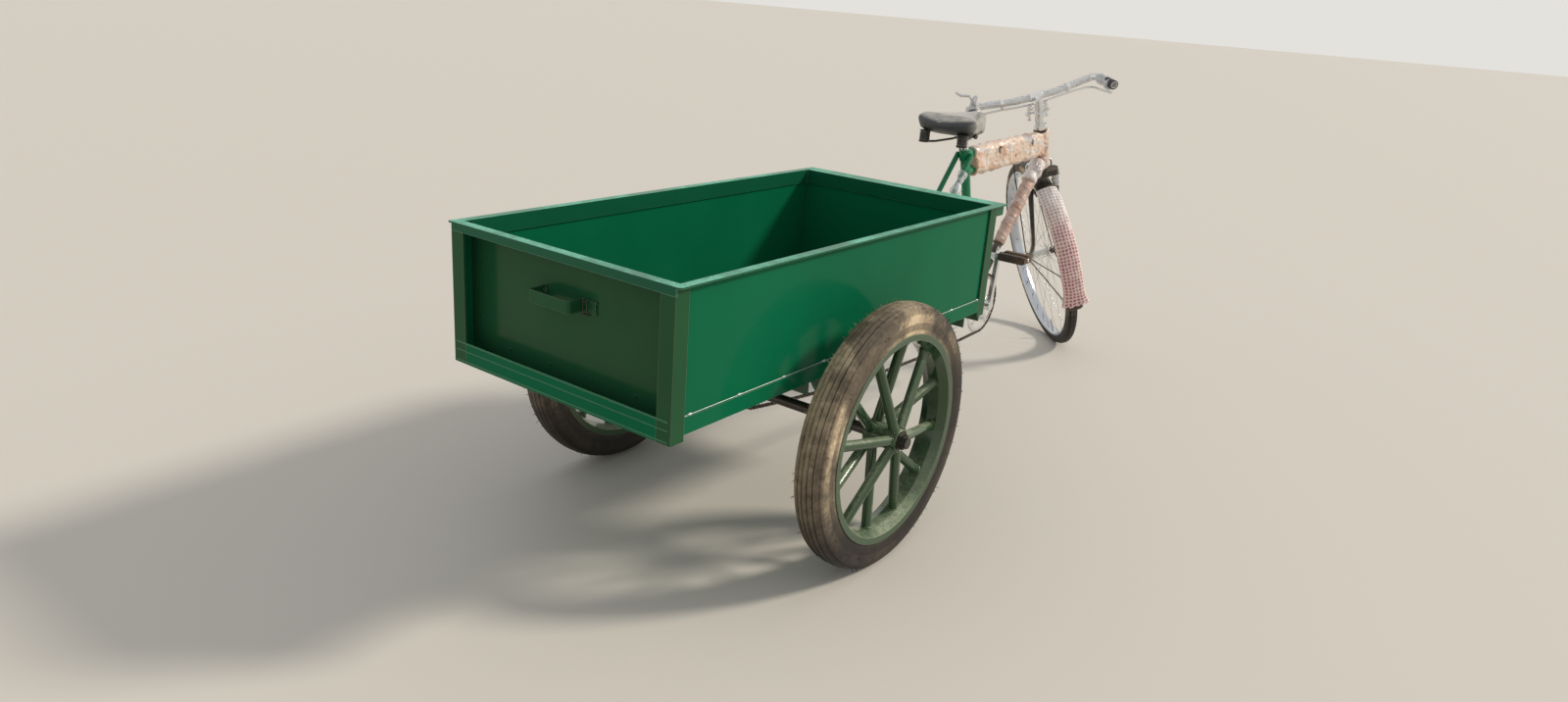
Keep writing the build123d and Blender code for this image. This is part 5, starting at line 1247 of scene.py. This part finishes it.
# %% Linkage and bow
SHAFT_FRONT, SHAFT_UP = -60, 635
SLIDE_FRONT, SLIDE_UP = -58, 652
LINK_X = 30
BOW_FRONT, BOW_HALF, BOW_LOW, BOW_NUT_UP = -46, 45, 378, 392
CENTRAL_BARS = (                            # from, to, radius, sides
    ((0, HEAD_BACK, 626), (0, HEAD_BACK, 644), 17.0, 24),
    ((-36, SHAFT_FRONT, SHAFT_UP), (36, SHAFT_FRONT, SHAFT_UP), 4.0, 12),
)
SIDE_BARS = (                               # the same, on either side
    ((8, HEAD_BACK, SHAFT_UP), (8, -56, SHAFT_UP), 4.5, 8),
    ((LINK_X, SHAFT_FRONT, 610), (LINK_X, SHAFT_FRONT, 668), 3.0, 10),
    ((LINK_X, SHAFT_FRONT, 611), (LINK_X, SHAFT_FRONT, 617), 7.5, 6),
    ((LINK_X, SHAFT_FRONT, 632), (LINK_X, SHAFT_FRONT, 638), 9.0, 6),
    ((LINK_X, SHAFT_FRONT, 649), (LINK_X, SHAFT_FRONT, 655), 7.0, 6),
    ((LINK_X, SHAFT_FRONT, 661), (LINK_X, SHAFT_FRONT, 667), 5.5, 6),
    ((34, SHAFT_FRONT, SHAFT_UP), (41, SHAFT_FRONT, SHAFT_UP), 7.0, 6),
    ((18, SLIDE_FRONT, SLIDE_UP), (24, SLIDE_FRONT, SLIDE_UP), 8.5, 16),
    ((12, SLIDE_FRONT, SLIDE_UP), (LINK_X, SLIDE_FRONT, SLIDE_UP), 3.0, 8),
    ((BOW_HALF - 6, BOW_FRONT, BOW_NUT_UP), (BOW_HALF + 6, BOW_FRONT, BOW_NUT_UP), 6.5, 6),
)
HALF_BOW = ((BOW_HALF, BOW_LOW), (BOW_HALF, 424), (38, 432))
bm = bmesh.new()
for start, end, radius, sides in CENTRAL_BARS:
    tube(bm, steered(*start), steered(*end), radius * MM, sides)
for side in (-1, 1):
    for start, end, radius, sides in SIDE_BARS:
        ends = [steered(side * across, front, up) for across, front, up in (start, end)]
        tube(bm, *ends, radius * MM, sides)
bow = [(-across, up) for across, up in HALF_BOW] + list(reversed(HALF_BOW))
wire(bm, along([steered(across, BOW_FRONT, up) for across, up in bow], 0.01), 0.0044, 10)
made = piece("brake_linkage", bm, "steering", chrome, smooth=40)
print("linkage:", len(made.data.polygons), "faces")

# %% [markdown]
# ## Tacks, beads and small fittings on the box
# The sheets are held to the angle frame by short tacks that were ground and painted thinly, so bare light
# metal shows at each. A tack is a stretched ball pressed out of shape by noise. The seam between sheet and
# rail is a hairline in the same light colour: a painted highlight where the rail's edge catches the light.

# %% Tacks and seam lines
RAIL_TOP, SHEET_X = 478.0, 303.0
TACKS, REAR_TACK_Y, TACK_PITCH = 9, 1322, 143
SEAM_ENDS = (1.336, 0.182)


def tack(bm, at, half, seed):
    """Lump of weld with the given half sizes in millimetres."""
    lump = bmesh.ops.create_icosphere(bm, subdivisions=2, radius=1.0)["verts"]
    for vert in lump:
        vert.co *= 1 + 0.35 * noise.noise(vert.co * 1.7 + X * seed)
    size = Matrix.Diagonal((*(part * MM for part in half), 1))
    bmesh.ops.transform(bm, verts=lump, matrix=Matrix.Translation(Vector(at) * MM) @ size)


bm = bmesh.new()
for side in (-1, 1):
    for count in range(TACKS):
        at_y = REAR_TACK_Y - TACK_PITCH * count
        tack(bm, (side * (SHEET_X + 1.2), at_y, RAIL_TOP + 1), (2.4, 7.5, 2.6), count + 3.1 * side)
        tack(bm, (side * (SHEET_X + 0.8), at_y + 9, RAIL_TOP), (1.4, 3.0, 1.3), count + 7.7)
    # The seam hairline's light colour is a painted highlight along the rail's edge.
    wire(bm, [(side * (SHEET_X + 0.4) * MM, end, RAIL_TOP * MM) for end in SEAM_ENDS], 0.0009, 6)
made = piece("box_tacks", bm, "chassis", tack_metal_and_seam_highlight, smooth=70)
print("tacks:", len(made.data.polygons), "faces")

# %% Beads along the posts and handle, painted over
POST_X, POST_YS, POST_BEADS, BEAD_LOW, BEAD_PITCH = 304.2, (1339, 174), 6, 505, 36
# Beads on the rear panel, as (across, up) in millimetres
REAR_BEADS = ((-266, 655), (-266, 628), (-266, 520), (266, 640), (266, 530), (-180, 481), (-60, 481),
              (60, 481), (180, 481))
BOLT_AT = Vector((0.067, 0, 0.634))
BOLT_PARTS = ((1.3345, 1.3395, 0.0052, 6), (1.3395, 1.3420, 0.0030, 10))        # from, to, radius, sides
bm = bmesh.new()
for side in (-1, 1):
    for count in range(POST_BEADS):
        for part, post_y in enumerate(POST_YS, 1):
            at = (side * POST_X, post_y, BEAD_LOW + BEAD_PITCH * count)
            tack(bm, at, (2.0, 1.8, 9.0), count + side * part)
for count, (x, z) in enumerate(REAR_BEADS):
    tack(bm, (x, 1335.2, z), (3.0, 1.5, 3.0), count * 1.3)
for x in (-73, 79):
    for z in (616, 638):
        tack(bm, (x, 1335.5, z), (4.0, 2.6, 2.6), x + z)
for start, end, radius, sides in BOLT_PARTS:
    tube(bm, BOLT_AT + Vector((0, start, 0)), BOLT_AT + Vector((0, end, 0)), radius, sides)
# The beads take the rear paint, with its painted reflection of the ground.
made = piece("box_beads", bm, "chassis", rear_paint_with_painted_reflection, smooth=50)
print("beads:", len(made.data.polygons), "faces")

# %% Hem of the lower rear rail
# The hem lines take a lighter green than the rail: a painted highlight along its folds.
HEM_Y, HEM_HALF = 1.3752, 0.300
HEM_LINES = ((476.2, 2.4), (459.0, 1.8), (436.0, 2.0))      # height and radius
bm = bmesh.new()
for height, radius in HEM_LINES:
    ends = [Vector((side * HEM_HALF, HEM_Y, height * MM)) for side in (-1, 1)]
    wire(bm, along(ends, 0.06), radius * MM, 8)
piece("rear_hem", bm, "chassis", hem_highlight_paint, smooth=60)
print("hem lines:", len(HEM_LINES))

# %% Wire staple beside the handle
STAPLE_X, STAPLE_YZ = -0.0555, ((1.3352, 0.611), (1.3440, 0.612), (1.3450, 0.638), (1.3352, 0.640))
STAPLE = [Vector((STAPLE_X, y, z)) for y, z in STAPLE_YZ]
STAPLE_WIDE, STAPLE_WIRE = X * 0.011, 0.0012
bm = bmesh.new()
wire(bm, STAPLE, STAPLE_WIRE)
wire(bm, [point + STAPLE_WIDE for point in STAPLE], STAPLE_WIRE)
for point in STAPLE[1:3]:
    wire(bm, [point, point + STAPLE_WIDE], STAPLE_WIRE)
made = piece("handle_staple", bm, "chassis", dark_steel)
print("staple:", len(made.data.polygons), "faces")

# %% [markdown]
# ## Film at the head and on the frame
# More film is bunched where the down tube meets the head, on the fork's upper end and on a seat stay, and
# scraps of it hang on the bare part of the down tube. Each is a loose sleeve, with lumps of film on it
# where it is gathered, and all of them are rumpled.

# %% Film on the frame
DOWN_TUBE_FOOT, DOWN_TUBE_TOP = Vector((0, -0.4218, 0.292)), Vector((0, -0.8286, 0.7370))


def on_down_tube(share):
    """Place on the down tube's line, from the bottom bracket to the head."""
    return DOWN_TUBE_FOOT.lerp(DOWN_TUBE_TOP, share)


def film_sleeve(bm, start, end, radius, fuller, turns, seed):
    """Loose sleeve round a tube, fuller here and there."""
    points = along([start, end], FILM_STEP)
    turns_to = [seed + index / len(points) * turns * 2 * pi for index in range(len(points))]
    hose(bm, points, [radius + fuller * (0.5 + 0.5 * sin(angle)) for angle in turns_to], 18)


def film_piece(name, body, film, sleeve, wads, folds):
    bm = bmesh.new()
    film_sleeve(bm, *sleeve)
    for lump in wads:
        wad(bm, *lump)
    rumple(bm, *folds)
    made = piece(name, bm, body, film, smooth=75)
    print(name, len(made.data.polygons), "faces")


film_piece("head_film", "chassis", pink_film,
           (on_down_tube(0.82), on_down_tube(0.96), 0.0230, 0.005, 1.5, 0.4),
           [(on_down_tube(0.91) + Vector((-0.016, 0.004, -0.002)), (0.014, 0.022, 0.026), 5.0)],
           (0.0035, 2.0, 60))
film_piece("frame_film_scraps", "chassis", white_film,
           (on_down_tube(0.27), on_down_tube(0.31), 0.0160, 0.0015, 2, 0.0),
           [(on_down_tube(0.335) + Vector((-0.014, 0.004, 0.002)), (0.004, 0.007, 0.012), 1.0, 0.5),
            (on_down_tube(0.30) + Vector((-0.015, 0.006, 0.0)), (0.004, 0.006, 0.010), 8.0, 0.5)],
           (0.0014, 6.0, 120))
film_piece("fork_film", "steering", white_film,
           (steered(-47, HEAD_BACK, 388), steered(-47, HEAD_BACK, 345), 0.0130, 0.003, 2, 1.0),
           [], (0.0014, 6.0, 120))
film_piece("stay_film", "chassis", bar_film,
           (Vector((-0.0245, -0.205, 0.738)), Vector((-0.0335, -0.070, 0.580)), 0.0105, 0.006, 3, 2.0),
           [], (0.0026, 4.0, 80))

# %% [markdown]
# ## Floor and light
# A pale warm floor stands in for the yard, because glossy paint shows what it stands on. A broad soft lamp
# shines from the front right, where the sun stood, and the world fills the shade. The world has two tones:
# the one that lights the tricycle, and a paler one that the camera, mirrors and clear film see.

# %% Floor
bm = bmesh.new()
bmesh.ops.create_grid(bm, x_segments=1, y_segments=1, size=60)
floor_mesh = bpy.data.meshes.new("floor")
bm.to_mesh(floor_mesh)
bm.free()
floor_material, tree, shader = new_material("floor")
plug(shader, {"Base Color": (0.66, 0.60, 0.52, 1), "Roughness": 0.9})
floor_mesh.materials.append(floor_material)
floor = show("floor", floor_mesh)
print("floor laid")

# %% World and sun
FILL, FILL_STRENGTH = (0.90, 0.95, 1.0, 1), 0.62
BACKDROP, BACKDROP_STRENGTH = (0.86, 0.84, 0.80, 1), 0.9
SUN_FROM, SUN_STRENGTH, SUN_WIDE = Vector((-0.62, -0.66, 0.62)), 2.3, radians(9)
world = bpy.data.worlds.new("world")
world.use_nodes = True
tree = world.node_tree
fill = tree.nodes["Background"]
plug(fill, {"Color": FILL, "Strength": FILL_STRENGTH})
ray = add(tree, "LightPath").outputs
mirrored = math("MAXIMUM", ray["Is Glossy Ray"], ray["Is Transmission Ray"])
seen = math("MAXIMUM", ray["Is Camera Ray"], mirrored)
backdrop = add(tree, "Background", {"Color": BACKDROP, "Strength": BACKDROP_STRENGTH})
both = add(tree, "MixShader", {0: seen, 1: fill.outputs[0], 2: backdrop.outputs[0]})
plug(tree.nodes["World Output"], {"Surface": both.outputs[0]})
bpy.context.scene.world = world
sun_data = bpy.data.lights.new("sun", "SUN")
sun_data.energy = SUN_STRENGTH
sun_data.angle = SUN_WIDE
sun_data.color = (1.0, 0.95, 0.87)
sun = show("sun", sun_data)
sun.matrix_world = SUN_FROM.to_track_quat("Z", "Y").to_matrix().to_4x4()
print("sun from", tuple(SUN_FROM))
